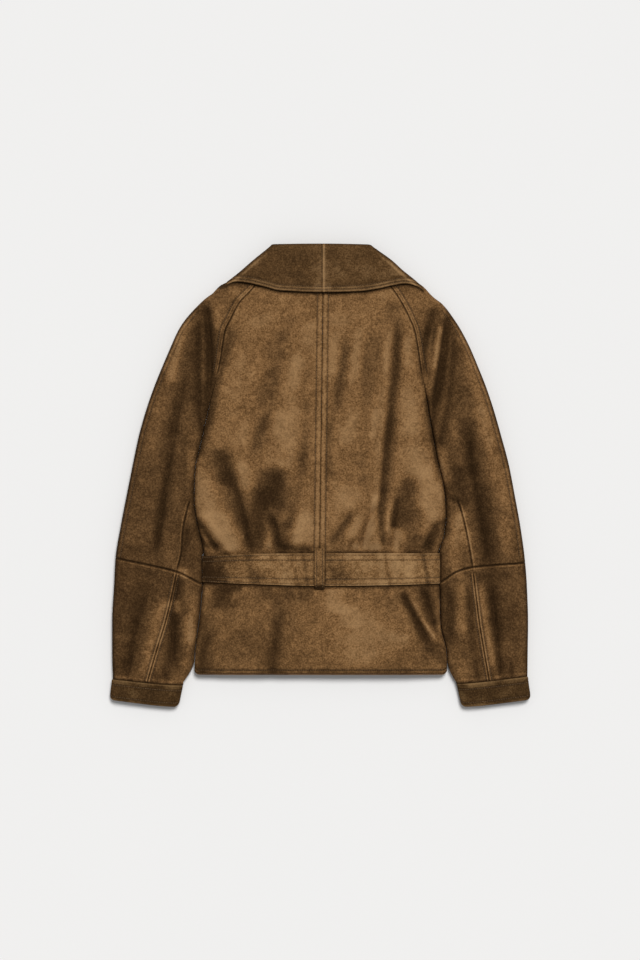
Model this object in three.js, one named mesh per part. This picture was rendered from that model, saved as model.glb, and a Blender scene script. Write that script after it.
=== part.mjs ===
// A cropped suede jacket laid flat on its front, so that its back faces up (+Z).
// The collar points to +Y, the hem to -Y and the wearer's left side to -X.
// The origin is on the floor, under the middle of the jacket's outline. All sizes are in millimetres.
//
// The jacket is two sheets of cloth, one over the other: the backs and the sleeves' backs above, the
// fronts and the sleeves' fronts on the floor. Each piece of a sheet is a wall whose outer skin follows
// one height function, so neighbours meet edge to edge along their seam. The two sheets roll towards
// each other at the jacket's edges, and stay apart inside, where the wearer's body and arms go.
import * as THREE from 'three';

// Cloth and seams
const SUEDE = 1.6;
const CUFF_CLOTH = 2.2;
const COLLAR_CLOTH = 2.2;
const BELT_CLOTH = 2.4;
const LOOP_CLOTH = 1.8;
const SEAM_GAP = 0.3;
const REST_GAP = 0.5;
const BELT_EASE = 1.1;

// Where the main lines lie along the jacket
const NECK_Y = 303;
const ARMPIT_Y = 145;
const ARMHOLE_CLOSED_Y = 98;
const LAP_TOP_Y = 34;
const FRONTS_PART_Y = 66;
const BREAK_Y = 100;
const WAIST_Y = -137.75;
const HEM_Y = -288.5;
const SLANT_START_Y = 20;

// Heights of the seams that run round the jacket's edges, and the radii of its rolled edges
const TORSO_SEAM_Z = 10;
const SLEEVE_SEAM_Z = 7.5;
const COLLAR_SEAM_Z = 11;
const TORSO_ROLL = 16;
const SLEEVE_ROLL = 16;
const INNER_ROLL = 13;
const FLOOR_ROLL = 10;
const COLLAR_ROLL = 14;
const LAPEL_ROLL = 12;
const STAND_ROLL = 6;
const CORNER_ROUND = 8;
const CUFF_CORNER_ROUND = 6;

// Fastening at the centre front, and how far a layer lifts the one that lies on it
const FRONT_LAP = 18;
const LAYER_LIFT = 2.3;
const BELT_LIFT = 2.9;
const BELT_END_X = 35;
const BELT_LAP_SLOPE = { from: 23, to: 47 };
const FRONT_LAP_SLOPE = { from: 20, to: 46 };
const LAPEL_SLOPE = { from: 9, to: 34 };
const LAPEL_STEEPNESS = 1.3;
const LAPEL_FREE = 3;
const LAPEL_FOOT = { from: 74, to: 92 };
// The rows over which cloth rises off the belt, below it and above it
const BELOW_BELT = { from: -176, to: -165 };
const ABOVE_BELT = { from: -110, to: -99 };

// The first rows under the collar, then the shoulder, the arm down to the elbow and the cuff
const SLEEVE_OUTLINE = table(['y', 'left', 'right'], [
  [303, -99, 104], [288, -115.5, 122], [275, -133, 138], [266, -148, 151], [260, -158, 159.5],
  [248, -176.2, 176.2], [225, -197.5, 193.6], [210, -206.6, 202.3], [185, -217.5, 214.9],
  [160, -228.4, 225.5], [130, -240.7, 237.8], [95, -252.3, 249.3], [55, -264.6, 260.3],
  [15, -273, 272.6], [-30, -282, 281.2], [-75, -290.7, 289], [-120, -297.7, 294.8],
  [-160, -300.6, 297.3], [-215, -303.3, 299.4], [-260, -303, 299], [-300, -301.6, 297.3],
]);

// The raglan seam down to the armpit, then the torso's side edge, the waist and the skirt
const TORSO_EDGE = table(['y', 'left', 'right'], [
  [303, -76, 77], [272, -97, 103], [249, -118, 118], [225, -130.5, 130], [210, -138, 136],
  [185, -142.4, 141.1], [160, -145.1, 144.3], [145, -146.7, 146.5], [118, -156.7, 152.5],
  [82, -165.7, 159], [43, -174.4, 166], [16, -181, 171.2], [-6, -182.8, 176.9], [-36, -183.4, 181.3],
  [-62, -180.5, 182], [-88, -174.7, 179.3], [-108, -168.5, 171.8], [-112, -168.2, 170],
  [-163, -168.2, 170], [-168, -169.6, 171.5], [-217, -176.9, 174.4], [-257, -182, 183], [-289, -183.4, 184.2],
]);

// The sleeve's edge beside the torso, from the armpit to the cuff
const SLEEVE_INNER = table(['y', 'left', 'right'], [
  [145, -147, 146.8], [118, -157.9, 153.7], [82, -166.9, 160.2], [43, -175.6, 167.2],
  [16, -182.2, 172.4], [-6, -184, 178.1], [-36, -184.6, 182.5], [-62, -181.7, 183.2],
  [-88, -176, 180.7], [-108, -173.1, 175.2], [-165, -172.9, 174.8], [-217, -178.2, 176.4],
  [-257, -184.5, 185], [-275, -188.5, 188.5], [-300, -197, 195.5],
]);

// Seams across and along the arm
const ELBOW_LEFT = table(['x', 'y'], [[-298, -120.4], [-254, -129.5], [-208, -140.5], [-174.7, -157]]);
const ELBOW_RIGHT = table(['x', 'y'], [[175, -155], [200.5, -139], [223.6, -133.3], [295.2, -127.5]]);
const HIND_SEAM = table(['y', 'left', 'right'], [
  [16, -182, 172.9], [-18, -185.2, 191], [-49, -193, 202.9], [-81, -199.5, 210.9],
  [-111, -201.5, 216.6], [-138, -208, 221], [-178, -216.3, 225.9], [-215, -225.5, 230.6],
  [-255, -238, 237.2], [-299, -251, 245],
]);
const CUFF_SIDES = table(['y', 'outerLeft', 'innerLeft', 'outerRight', 'innerRight'], [
  [-293, -302.6, -197.8, 300.2, 194.2], [-306, -303.6, -200.1, 302.4, 196.6],
  [-322, -305, -203.2, 305.2, 200], [-336, -305, -206.6, 305.6, 203.6],
]);
const CUFF_TOP = table(['x', 'y'], [[-304, -296.9], [-198, -305.6], [194, -303.4], [302, -292.8]]);
const CUFF_FOOT = table(['x', 'y'], [[-305, -327.5], [-206, -336], [203, -336], [305, -325.8]]);

// The collar: its outline up and across the back neck, and its free edge over the back
const COLLAR_TOP = table(['x', 'y'], [
  [-154.5, 265], [-139.1, 276.5], [-118.3, 292], [-94.7, 313], [-74, 331.6], [-62, 335.4], [0, 336],
  [66, 335.2], [78, 331], [101.2, 313], [119.9, 298.6], [140.7, 280.4], [158.8, 262.3],
]);
const COLLAR_EDGE = table(['x', 'y'], [
  [-139, 274.6], [-134, 277.2], [-124, 280.4], [-105.3, 278.6], [-82, 273.2], [-58.7, 267.5],
  [3.5, 264.9], [55.2, 266.2], [82, 269.8], [107, 275.2], [122.5, 277.4], [140.7, 273.6], [152, 265.6],
]);
const COLLAR_ENDS = { left: -136, right: 149 };

// The collar's heights: at the back neck it is rolled round its stand, and at the sides it is flatter
const COLLAR_NECK_RIM_Z = 18;
const COLLAR_TURN = { from: 66, to: 100 };
const COLLAR_NECK_ROLL = 9;
const COLLAR_CREST = { neck: 23.2, side: 20.4, from: 55, to: 140 };
const COLLAR_SWELL = { height: 0.9, reach: 22, from: -8, to: 14 };
const COLLAR_EDGE_DROP = { depth: 1.6, reach: 14 };
const STAND_Z = 13.9;

// Lapel and front edges: the fronts lap at the middle, and part above the break of the lapels
const FRONT_EDGE = table(['y', 'left', 'right'], [
  [-290, FRONT_LAP, -FRONT_LAP], [LAP_TOP_Y, FRONT_LAP, -FRONT_LAP], [FRONTS_PART_Y, -4, 4],
  [BREAK_Y, -4, 4], [335, -70, 74],
]);
const LAPEL_EDGE = table(['y', 'left', 'right'], [
  [BREAK_Y, -14, 14], [170, -104, 104], [230, -139, 139], [262, -154, 155],
  [276.5, -138.4, 143.8], [292, -118, 126], [313, -94.6, 101], [331, -74.4, 78],
]);
const LAPEL_TOP_Y = 329;
const LAPEL_CORNER_Y = 262;

// The belt's edges along its length
const BELT_EDGES = table(['x', 'top', 'foot'], [
  [-172, -117.6, -155.5], [-90, -114.2, -158.6], [0, -113.6, -161], [90, -113.6, -160], [174, -113.7, -157.6],
]);
const BELT_SIDES = { left: -171.8, right: 173.7 };
const LOOP = { left: -8.6, right: 5.8, top: -106.5, foot: -165.8 };

// How high the upper sheet stands above the floor, in the middle and over the sleeves
const LOFT = table(['y', 'middle', 'sleeve'], [
  [336, 15.5, 14], [303, 15.5, 14.5], [285, 17, 15.5], [265, 19.5, 17], [240, 22, 19], [200, 24, 21],
  [100, 25, 21], [0, 25.5, 20.5], [-80, 26.5, 20.5], [-98, 25, 20.5], [-108, 20.5, 20], [-113, 18.5, 20],
  [-163, 18.5, 19], [-172, 20.5, 19], [-220, 21.5, 18.5], [-289, 19, 15], [-300, 19, 14], [-336, 19, 13.8],
]);
const LOFT_INSIDE_X = 95;
const LOFT_OUTSIDE_X = 205;

// Folds run down the cloth through three points, from top to foot. A fold's height is negative for
// a trough and positive for a ridge; before and after are its half widths towards -X and +X.
const FOLDS = table(['on', 'x0', 'y0', 'x1', 'y1', 'x2', 'y2', 'height', 'before', 'after', 'fade'], [
  // The back, right of the centre seam
  ['torso', 109, 222, 101, 70, 88, -84, -4.2, 8, 11, 34],
  ['torso', 99, 190, 88, 60, 81, -60, 1.8, 9, 8, 40],
  ['torso', 84, -38, 66, -74, 57, -114, -4.2, 7, 9, 16],
  ['torso', 113, -26, 106, -70, 101, -114, -4.2, 7, 10, 16],
  ['torso', 171, -64, 160, -88, 147, -114, -4.4, 7, 8, 12],
  ['torso', 78, 215, 74, 150, 66, 40, -1.4, 12, 12, 40],
  ['torso', 38, 212, 31, 150, 24, 80, -1.5, 10, 10, 30],
  ['torso', 128, 20, 131, -30, 124, -80, -2.6, 13, 13, 26],
  ['torso', 52, -46, 33, -76, 17, -104, -2.2, 9, 10, 18],
  // The back, left of the centre seam
  ['torso', -180, -68, -161, -90, -147, -114, -4.6, 7, 8, 12],
  ['torso', -142, 46, -123, -24, -106, -114, -4.2, 9, 11, 26],
  ['torso', -62, 12, -79, -44, -95, -114, -3.4, 13, 14, 26],
  ['torso', -172, 2, -144, -54, -116, -104, 2, 12, 11, 26],
  ['torso', -76, -48, -67, -80, -60, -114, -3.8, 7, 8, 16],
  ['torso', -20, 70, -29, 0, -46, -92, -2, 11, 11, 30],
  ['torso', -56, 225, -69, 140, -98, -5, -1.8, 14, 14, 40],
  // The left sleeve and shoulder
  ['sleeve', -167, 256, -160, 170, -165, 66, -6, 7, 7, 22],
  ['sleeve', -179, 232, -179, 150, -171, 48, -3, 6, 7, 26],
  ['sleeve', -196, 168, -219, 30, -242, -134, -5, 9, 7, 40],
  ['both', -130, 232, -139, 205, -147, 150, -2, 7, 6, 20],
  // The right sleeve and shoulder
  ['both', 166, 250, 152, 190, 150, 128, -4, 7, 7, 22],
  ['sleeve', 184, 246, 171, 190, 158, 112, 1.8, 6, 6, 22],
  ['sleeve', 187, 244, 177, 165, 160, 66, -6, 6, 8, 24],
  ['sleeve', 195, 222, 191, 150, 171, 20, -3.4, 7, 8, 30],
  ['sleeve', 209, 92, 222, -10, 244, -134, -5, 9, 9, 36],
  // The forearms
  ['sleeve', -247, -140, -266, -212, -283, -300, -4.6, 8, 9, 22],
  ['sleeve', -207, -142, -213, -205, -216, -284, -4.6, 6, 8, 20],
  ['sleeve', 243, -140, 252, -205, 261, -300, -4.6, 7, 8, 22],
  ['sleeve', 184, -160, 191, -205, 188, -262, -3.2, 7, 7, 20],
  // The skirt
  ['torso', -56, -192, -65, -238, -73, -300, -2.6, 9, 9, 24],
  ['torso', -145, -162, -148, -180, -153, -208, -3.2, 9, 11, 16],
  ['torso', -158, -226, -169, -252, -178, -290, -2.2, 9, 9, 18],
  ['torso', 116, -164, 137, -208, 163, -252, -4.2, 8, 9, 16],
  ['torso', 146, -160, 159, -204, 173, -244, -3.4, 8, 7, 16],
]);

// Columns of each panel, as distances in from its side edges, then even steps between them
const ROLLED_SIDE = [0, 0.9, 3.6, 9];
const CUT_SIDE = [0];

// Colours read off the suede
const COLOURS = { body: 0x7a5c3a, cuff: 0x6b4f31, collar: 0x5d452a, belt: 0x7c5e3c };

// A list of rows as objects with named columns
function table(columns, rows) {
  return rows.map((row) => Object.fromEntries(columns.map((name, i) => [name, row[i]])));
}

// A smooth curve through a table's rows that never overshoots them: one column against another
function along(rows, column, key = 'y') {
  const sorted = [...rows].sort((a, b) => a[key] - b[key]);
  const at = sorted.map((row) => row[key]);
  const value = sorted.map((row) => row[column]);
  const rise = at.slice(1).map((next, i) => (value[i + 1] - value[i]) / (next - at[i]));
  const slope = value.map((_, i) => {
    if (i === 0) return rise[0];
    if (i === rise.length) return rise[i - 1];
    const [before, after] = [rise[i - 1], rise[i]];
    return before * after <= 0 ? 0 : (2 * before * after) / (before + after);
  });
  return (wanted) => {
    const t = Math.min(Math.max(wanted, at[0]), at[at.length - 1]);
    const above = at.findIndex((start) => start > t);
    const i = above === -1 ? rise.length - 1 : Math.max(above - 1, 0);
    const step = at[i + 1] - at[i];
    const u = (t - at[i]) / step;
    const [u2, u3] = [u * u, u * u * u];
    return value[i] * (2 * u3 - 3 * u2 + 1) + value[i + 1] * (3 * u2 - 2 * u3)
      + step * (slope[i] * (u3 - 2 * u2 + u) + slope[i + 1] * (u3 - u2));
  };
}

// Small shaping functions
const mix = (a, b, part) => a + (b - a) * part;
const clamp01 = (value) => Math.min(Math.max(value, 0), 1);
const ease = (value, from, to) => {
  const part = clamp01((value - from) / (to - from));
  return part * part * (3 - 2 * part);
};
const rolled = (distance, radius) => Math.sqrt(1 - (1 - clamp01(distance / radius)) ** 2);

// The curves of one side of the jacket; sign is -1 on the wearer's left and +1 on the right
function sideCurves(name, sign, elbow, cuffOuter, cuffInner) {
  const torso = along(TORSO_EDGE, name);
  const belowArmpit = along(SLEEVE_INNER, name);
  const inner = (y) => (y >= ARMPIT_Y ? torso(y) + sign * SEAM_GAP : belowArmpit(y));
  return {
    name, sign, torso, inner, elbow: along(elbow, 'y', 'x'),
    outer: along(SLEEVE_OUTLINE, name), hind: along(HIND_SEAM, name),
    front: along(FRONT_EDGE, name), lapel: along(LAPEL_EDGE, name),
    cuffOuter: along(CUFF_SIDES, cuffOuter), cuffInner: along(CUFF_SIDES, cuffInner),
  };
}
const LEFT = sideCurves('left', -1, ELBOW_LEFT, 'outerLeft', 'innerLeft');
const RIGHT = sideCurves('right', 1, ELBOW_RIGHT, 'outerRight', 'innerRight');
const sideOf = (x) => (x < 0 ? LEFT : RIGHT);

const loftMiddle = along(LOFT, 'middle');
const loftSleeve = along(LOFT, 'sleeve');
const cuffTop = along(CUFF_TOP, 'y', 'x');
const cuffFoot = along(CUFF_FOOT, 'y', 'x');
const collarTop = along(COLLAR_TOP, 'y', 'x');
const collarEdge = along(COLLAR_EDGE, 'y', 'x');
const beltTop = along(BELT_EDGES, 'top', 'x');
const beltFoot = along(BELT_EDGES, 'foot', 'x');

// The centre back seam leans a little across the jacket
const centreBack = (y) => 3.6 + (y - 264) * 0.0129;

// Each fold as a smooth bell across a line that runs through its three points
const folds = FOLDS.map((fold) => {
  const points = [0, 1, 2].map((i) => ({ x: fold[`x${i}`], y: fold[`y${i}`] }));
  const line = along(points, 'x');
  return (x, y, place) => {
    if (fold.on !== 'both' && fold.on !== place) return 0;
    const faded = ease(y, fold.y2, fold.y2 + fold.fade) * (1 - ease(y, fold.y0 - fold.fade, fold.y0));
    const across = x - line(y);
    const width = across < 0 ? fold.before : fold.after;
    return fold.height * faded * Math.exp(-((across / width) ** 2));
  };
});

// The upper sheet's height before its edges roll down; folds end where the belt presses the cloth
function crown(x, y, place) {
  const loft = mix(loftMiddle(y), loftSleeve(y), ease(Math.abs(x), LOFT_INSIDE_X, LOFT_OUTSIDE_X));
  const underBelt = place === 'torso' ? ease(y, -172, -164) * (1 - ease(y, -112, -107)) : 0;
  return loft + (1 - underBelt) * folds.reduce((sum, fold) => sum + fold(x, y, place), 0);
}

// Torso and sleeve are one hollow above the armpit, and part from each other below it
const parted = (y) => ease(ARMPIT_Y - y, 0, ARMPIT_Y - ARMHOLE_CLOSED_Y);

function torsoRoll(x, y, radius) {
  const side = sideOf(x);
  return mix(1, rolled(side.sign * (side.torso(y) - x), radius), parted(y));
}

function sleeveRoll(side, x, y, outerRadius, innerRadius) {
  const fromOuter = rolled(side.sign * (side.outer(y) - x), outerRadius);
  return fromOuter * mix(1, rolled(side.sign * (x - side.inner(y)), innerRadius), parted(y));
}

function torsoTop(x, y) {
  return mix(TORSO_SEAM_Z + SEAM_GAP / 2, crown(x, y, 'torso'), torsoRoll(x, y, TORSO_ROLL));
}

function sleeveTop(side) {
  return (x, y) => {
    const roll = sleeveRoll(side, x, y, SLEEVE_ROLL, INNER_ROLL);
    return mix(SLEEVE_SEAM_Z + SEAM_GAP / 2, crown(x, y, 'sleeve'), roll);
  };
}

// How far the lapels lift the cloth that lies on them, most where they rise to the collar's edge
function lapelLift(side, x, y) {
  const outside = side.sign * (x - side.lapel(Math.min(y, LAPEL_CORNER_Y)));
  const rise = mix(COLLAR_SEAM_Z, 0, rolled(Math.max(fromCollarTop(x, y) - LAPEL_FREE, 0), LAPEL_ROLL));
  const lift = Math.min(LAYER_LIFT + LAPEL_STEEPNESS * rise, SLEEVE_SEAM_Z - 1);
  return lift * (1 - ease(outside, LAPEL_SLOPE.from, LAPEL_SLOPE.to))
    * ease(y, LAPEL_FOOT.from, LAPEL_FOOT.to);
}

// How far the belt lifts it: twice as far where the belt's ends lap
function beltLift(x, y) {
  const layers = 2 - ease(Math.abs(x), BELT_END_X + BELT_LAP_SLOPE.from, BELT_END_X + BELT_LAP_SLOPE.to);
  return BELT_LIFT * layers * ease(y, BELOW_BELT.from, BELOW_BELT.to)
    * (1 - ease(y, ABOVE_BELT.from, ABOVE_BELT.to));
}

// The right front lies under the left one at the middle
function frontLift(side, x, y) {
  const slope = ease(-x, FRONT_LAP + FRONT_LAP_SLOPE.from, FRONT_LAP + FRONT_LAP_SLOPE.to);
  const lapped = side.sign < 0 ? LAYER_LIFT * (1 - slope) : 0;
  return beltLift(x, y) + Math.max(lapelLift(side, x, y), lapped * (1 - ease(y, FRONTS_PART_Y + 4, BREAK_Y)));
}

function frontFace(side) {
  return (x, y) => mix(TORSO_SEAM_Z - SEAM_GAP / 2, frontLift(side, x, y), torsoRoll(x, y, FLOOR_ROLL));
}

function sleeveFace(side) {
  return (x, y) => {
    const roll = sleeveRoll(side, x, y, FLOOR_ROLL, FLOOR_ROLL);
    return mix(SLEEVE_SEAM_Z - SEAM_GAP / 2, lapelLift(side, x, y), roll);
  };
}

// Distance from the collar's slanted and top outline, square to it
function fromCollarTop(x, y) {
  const lean = (collarTop(x + 1) - collarTop(x - 1)) / 2;
  return (collarTop(x) - y) / Math.hypot(1, lean);
}

// The collar rolls to its stand at the back neck, and to the lapels on the slanted sides
const collarTurned = (x) => ease(Math.abs(x), COLLAR_TURN.from, COLLAR_TURN.to);
const collarRimZ = (x) => mix(COLLAR_NECK_RIM_Z, COLLAR_SEAM_Z, collarTurned(x));

function collarTopFace(x, y) {
  const inFrom = y - collarEdge(x);
  const aside = ease(Math.abs(x), COLLAR_CREST.from, COLLAR_CREST.to);
  const flat = mix(COLLAR_CREST.neck, COLLAR_CREST.side, aside);
  const swell = COLLAR_SWELL.height * ease(COLLAR_SWELL.reach - inFrom, COLLAR_SWELL.from, COLLAR_SWELL.to);
  const drop = COLLAR_EDGE_DROP.depth * ease(COLLAR_EDGE_DROP.reach - inFrom, 0, COLLAR_EDGE_DROP.reach);
  const lowered = flat + swell - drop;
  const roll = rolled(fromCollarTop(x, y), mix(COLLAR_NECK_ROLL, COLLAR_ROLL, collarTurned(x)));
  return mix(collarRimZ(x) + SEAM_GAP / 2, lowered, roll);
}

function lapelFace(x, y) {
  const rim = COLLAR_SEAM_Z - SEAM_GAP / 2;
  return mix(rim, 0, rolled(Math.max(fromCollarTop(x, y), 0), LAPEL_ROLL));
}

function standFace(x, y) {
  return mix(collarRimZ(0) - SEAM_GAP / 2, STAND_Z, rolled(collarTop(x) - y, STAND_ROLL));
}

// Rows of a panel: at a height along the jacket, or spread between two lines across it
const level = (y) => () => y;
const levels = (list) => list.map(level);
const between = (start, end, parts) => parts.map((part) => (x) => mix(start(x), end(x), part));
const evenly = (count) => Array.from({ length: count + 1 }, (_, i) => i / count);

// Columns of a panel at one row: its edge distances, with even steps in the middle
function spread(from, to, nearFrom, nearTo, steps) {
  const width = Math.abs(to - from);
  const taken = nearFrom[nearFrom.length - 1] + nearTo[nearTo.length - 1];
  const squeeze = Math.min(1, (0.6 * width) / Math.max(taken, 1));
  const start = nearFrom[nearFrom.length - 1] * squeeze;
  const end = width - nearTo[nearTo.length - 1] * squeeze;
  const middle = evenly(steps).slice(1, -1).map((part) => mix(start, end, part));
  const distances = [
    ...nearFrom.map((distance) => distance * squeeze), ...middle,
    ...[...nearTo].reverse().map((distance) => width - distance * squeeze),
  ];
  return distances.map((distance) => from + Math.sign(to - from) * distance);
}

// A closed wall from a grid of outer points and the matching inner points. Across, the grid may
// close on itself, as a cuff does.
function wall(outer, inner, closesAcross = false) {
  const rows = outer.length;
  const columns = outer[0].length;
  const points = [...outer.flat(), ...inner.flat()];
  const at = (layer, row, column) => layer * rows * columns + row * columns + (column % columns);
  const faces = [];
  const quad = (a, b, c, d) => faces.push(a, b, c, a, c, d);
  const cells = closesAcross ? columns : columns - 1;
  for (let row = 0; row < rows - 1; row += 1) {
    for (let column = 0; column < cells; column += 1) {
      quad(at(0, row, column), at(0, row, column + 1), at(0, row + 1, column + 1), at(0, row + 1, column));
      quad(at(1, row, column), at(1, row + 1, column), at(1, row + 1, column + 1), at(1, row, column + 1));
    }
    if (!closesAcross) {
      quad(at(0, row, 0), at(0, row + 1, 0), at(1, row + 1, 0), at(1, row, 0));
      quad(at(0, row, cells), at(1, row, cells), at(1, row + 1, cells), at(0, row + 1, cells));
    }
  }
  for (let column = 0; column < cells; column += 1) {
    quad(at(0, 0, column), at(1, 0, column), at(1, 0, column + 1), at(0, 0, column + 1));
    const last = rows - 1;
    quad(at(0, last, column), at(0, last, column + 1), at(1, last, column + 1), at(1, last, column));
  }
  return solid(points, faces);
}

// A geometry whose faces point out, whichever way round its grid was given
function solid(points, faces) {
  let volume = 0;
  for (let i = 0; i < faces.length; i += 3) {
    const [a, b, c] = [points[faces[i]], points[faces[i + 1]], points[faces[i + 2]]];
    volume += a.dot(new THREE.Vector3().crossVectors(b, c));
  }
  const geometry = new THREE.BufferGeometry();
  geometry.setAttribute('position', new THREE.Float32BufferAttribute(points.flatMap((p) => p.toArray()), 3));
  geometry.setIndex(volume < 0 ? faces.reverse() : faces);
  geometry.computeVertexNormals();
  return geometry;
}

// A panel of cloth: a wall whose outer skin is height(x, y) between two side edges. facing is +1
// where that skin looks up and -1 where it looks down; the inner skin stays on its own side of rimZ.
function panel({ from, to, near, rows, height, facing, cloth = SUEDE, rimZ }) {
  const [nearFrom, nearTo, steps] = near;
  const STEP = 0.25;
  const INSIDE = 0.02;
  const outer = [];
  const inner = [];
  for (const row of rows) {
    const outerRow = [];
    const innerRow = [];
    const count = spread(0, 1, nearFrom, nearTo, steps).length;
    for (let column = 0; column < count; column += 1) {
      let y = row((from(0) + to(0)) / 2);
      let x = 0;
      for (let pass = 0; pass < 6; pass += 1) {
        x = spread(from(y), to(y), nearFrom, nearTo, steps)[column];
        y = row(x);
      }
      const low = Math.min(from(y), to(y)) + INSIDE;
      const high = Math.max(from(y), to(y)) - INSIDE;
      const [x0, x1] = [Math.min(Math.max(x - STEP, low), high), Math.max(Math.min(x + STEP, high), low)];
      const slopeX = x1 > x0 ? (height(x1, y) - height(x0, y)) / (x1 - x0) : 0;
      const slopeY = (height(x, y + STEP) - height(x, y - STEP)) / (2 * STEP);
      const up = new THREE.Vector3(-slopeX, -slopeY, 1).normalize();
      const skin = new THREE.Vector3(x, y, height(x, y));
      const back = skin.clone().addScaledVector(up, -facing * cloth);
      if (rimZ !== undefined) back.z = facing > 0 ? Math.max(back.z, rimZ) : Math.min(back.z, rimZ);
      outerRow.push(skin);
      innerRow.push(back);
    }
    outer.push(outerRow);
    inner.push(innerRow);
  }
  return wall(outer, inner);
}

// A strip of cloth that follows a path in X and Z, as wide along Y as its edges say
function strip(path, cloth, edges, closed = false) {
  const count = path.length;
  const outer = [[], []];
  const inner = [[], []];
  path.forEach((point, i) => {
    const before = path[closed ? (i + count - 1) % count : Math.max(i - 1, 0)];
    const after = path[closed ? (i + 1) % count : Math.min(i + 1, count - 1)];
    const way = new THREE.Vector2(after.x - before.x, after.y - before.y).normalize();
    const backing = new THREE.Vector2(point.x + way.y * cloth, point.y - way.x * cloth);
    edges.forEach((edge, side) => {
      outer[side].push(new THREE.Vector3(point.x, edge(point.x), point.y));
      inner[side].push(new THREE.Vector3(backing.x, edge(point.x), backing.y));
    });
  });
  return wall(outer, inner, closed);
}

// The jacket, piece by piece
const jacket = new THREE.Group();
const finish = (colour) => new THREE.MeshStandardMaterial({ color: colour, roughness: 0.95, metalness: 0 });
const materials = Object.fromEntries(Object.entries(COLOURS).map(([slot, colour]) => [slot, finish(colour)]));

function add(name, geometry, slot) {
  const mesh = new THREE.Mesh(geometry, materials[slot]);
  mesh.name = name;
  jacket.add(mesh);
}

const TORSO_RIM = TORSO_SEAM_Z + SEAM_GAP / 2;
const SLEEVE_RIM = SLEEVE_SEAM_Z + SEAM_GAP / 2;
const FRONT_RIM = TORSO_SEAM_Z - SEAM_GAP / 2;
const SLEEVE_FRONT_RIM = SLEEVE_SEAM_Z - SEAM_GAP / 2;

// Rows shared by the pieces that meet along the raglan and side seams
const SHOULDER_ROWS = [303, 280, 262, 244, 225, 206, 186, 165, 145];
const FRONT_SHOULDER_ROWS = [303, 276, 262, 244, 225, 200, 172, 145];
const ARMPIT_ROWS = [122, 98];
const CHEST_ROWS = [70, 42];
const WAIST_ROWS = [16, -8, -30, -50, -67, -82, -94, -104, -112, -126];
const FRONT_ROWS = [116, 93, 80, 66, 34, 16, -10, -36, -62, -88, -100, -110];
const ELBOW_PARTS = [0, 0.06, 0.15, 0.22, 0.3, 0.45, 0.6, 0.75, 0.88, 1];
const FRONT_ELBOW_PARTS = [0, 0.16, 0.32, 0.48, 0.64, 0.8, 1];
const FRONT_LAP_SIDE = [0, 44, 70];
const UNDER_FIRST_ROW = { left: 4, right: 1 };
const ABOVE_ELBOW = (side) => (x) => side.elbow(x) + SEAM_GAP / 2;
const BELOW_ELBOW = (side) => (x) => side.elbow(x) - SEAM_GAP / 2;
const ABOVE_CUFF = (x) => cuffTop(x) + SEAM_GAP / 2;

// The two back panels, from the neck to the waist seam under the belt
function backPanel(side) {
  return panel({
    from: side.torso, to: (y) => centreBack(y) + side.sign * (SEAM_GAP / 2),
    near: [ROLLED_SIDE, CUT_SIDE, 15],
    rows: levels([...SHOULDER_ROWS, ...ARMPIT_ROWS, ...CHEST_ROWS, ...WAIST_ROWS, WAIST_Y + SEAM_GAP / 2]),
    height: torsoTop, facing: 1, rimZ: TORSO_RIM,
  });
}

// The hem rounds up at its two corners
function hemLine(x) {
  const side = sideOf(x);
  return HEM_Y + CORNER_ROUND * (1 - rolled(side.sign * (side.torso(HEM_Y) - x), CORNER_ROUND));
}

function skirtBack() {
  return panel({
    from: LEFT.torso, to: RIGHT.torso, near: [ROLLED_SIDE, ROLLED_SIDE, 25],
    rows: [
      ...levels([WAIST_Y - SEAM_GAP / 2, -163, -171, -185, -202, -220, -238]),
      ...between(level(-255), hemLine, [0, 0.5, 1]),
    ],
    height: torsoTop, facing: 1, rimZ: TORSO_RIM,
  });
}

function frontPanel(side) {
  return panel({
    from: side.torso, to: side.front, near: [ROLLED_SIDE, FRONT_LAP_SIDE, 4],
    rows: levels([...FRONT_SHOULDER_ROWS, ...FRONT_ROWS, WAIST_Y + SEAM_GAP / 2]),
    height: frontFace(side), facing: -1, rimZ: FRONT_RIM,
  });
}

function skirtFront(side) {
  return panel({
    from: side.torso, to: side.front, near: [ROLLED_SIDE, FRONT_LAP_SIDE, 4],
    rows: [
      ...levels([WAIST_Y - SEAM_GAP / 2, -165, -176, -218]),
      ...between(level(-255), hemLine, [0, 0.5, 1]),
    ],
    height: frontFace(side), facing: -1, rimZ: FRONT_RIM,
  });
}

// The sleeve above the elbow: the back half runs from the neck along the raglan seam, and below the
// arm it ends on the hind-arm seam, where the under sleeve shows
function sleeveBack(side) {
  const hindShows = (y) => y < SLANT_START_Y && side.sign * (side.hind(y) - side.inner(y)) > 0;
  return panel({
    from: side.outer,
    to: (y) => (hindShows(y) ? side.hind(y) + side.sign * (SEAM_GAP / 2) : side.inner(y)),
    near: [ROLLED_SIDE, ROLLED_SIDE, 8],
    rows: [
      ...levels([...SHOULDER_ROWS, ...ARMPIT_ROWS, ...CHEST_ROWS]),
      ...between(level(SLANT_START_Y), ABOVE_ELBOW(side), ELBOW_PARTS),
    ],
    height: sleeveTop(side), facing: 1, rimZ: SLEEVE_RIM,
  });
}

function sleeveUnder(side, firstPart) {
  const parts = ELBOW_PARTS.slice(firstPart);
  return panel({
    from: (y) => side.hind(y) - side.sign * (SEAM_GAP / 2), to: side.inner, near: [CUT_SIDE, ROLLED_SIDE, 4],
    rows: between(level(SLANT_START_Y), ABOVE_ELBOW(side), parts),
    height: sleeveTop(side), facing: 1, rimZ: SLEEVE_RIM,
  });
}

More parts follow.
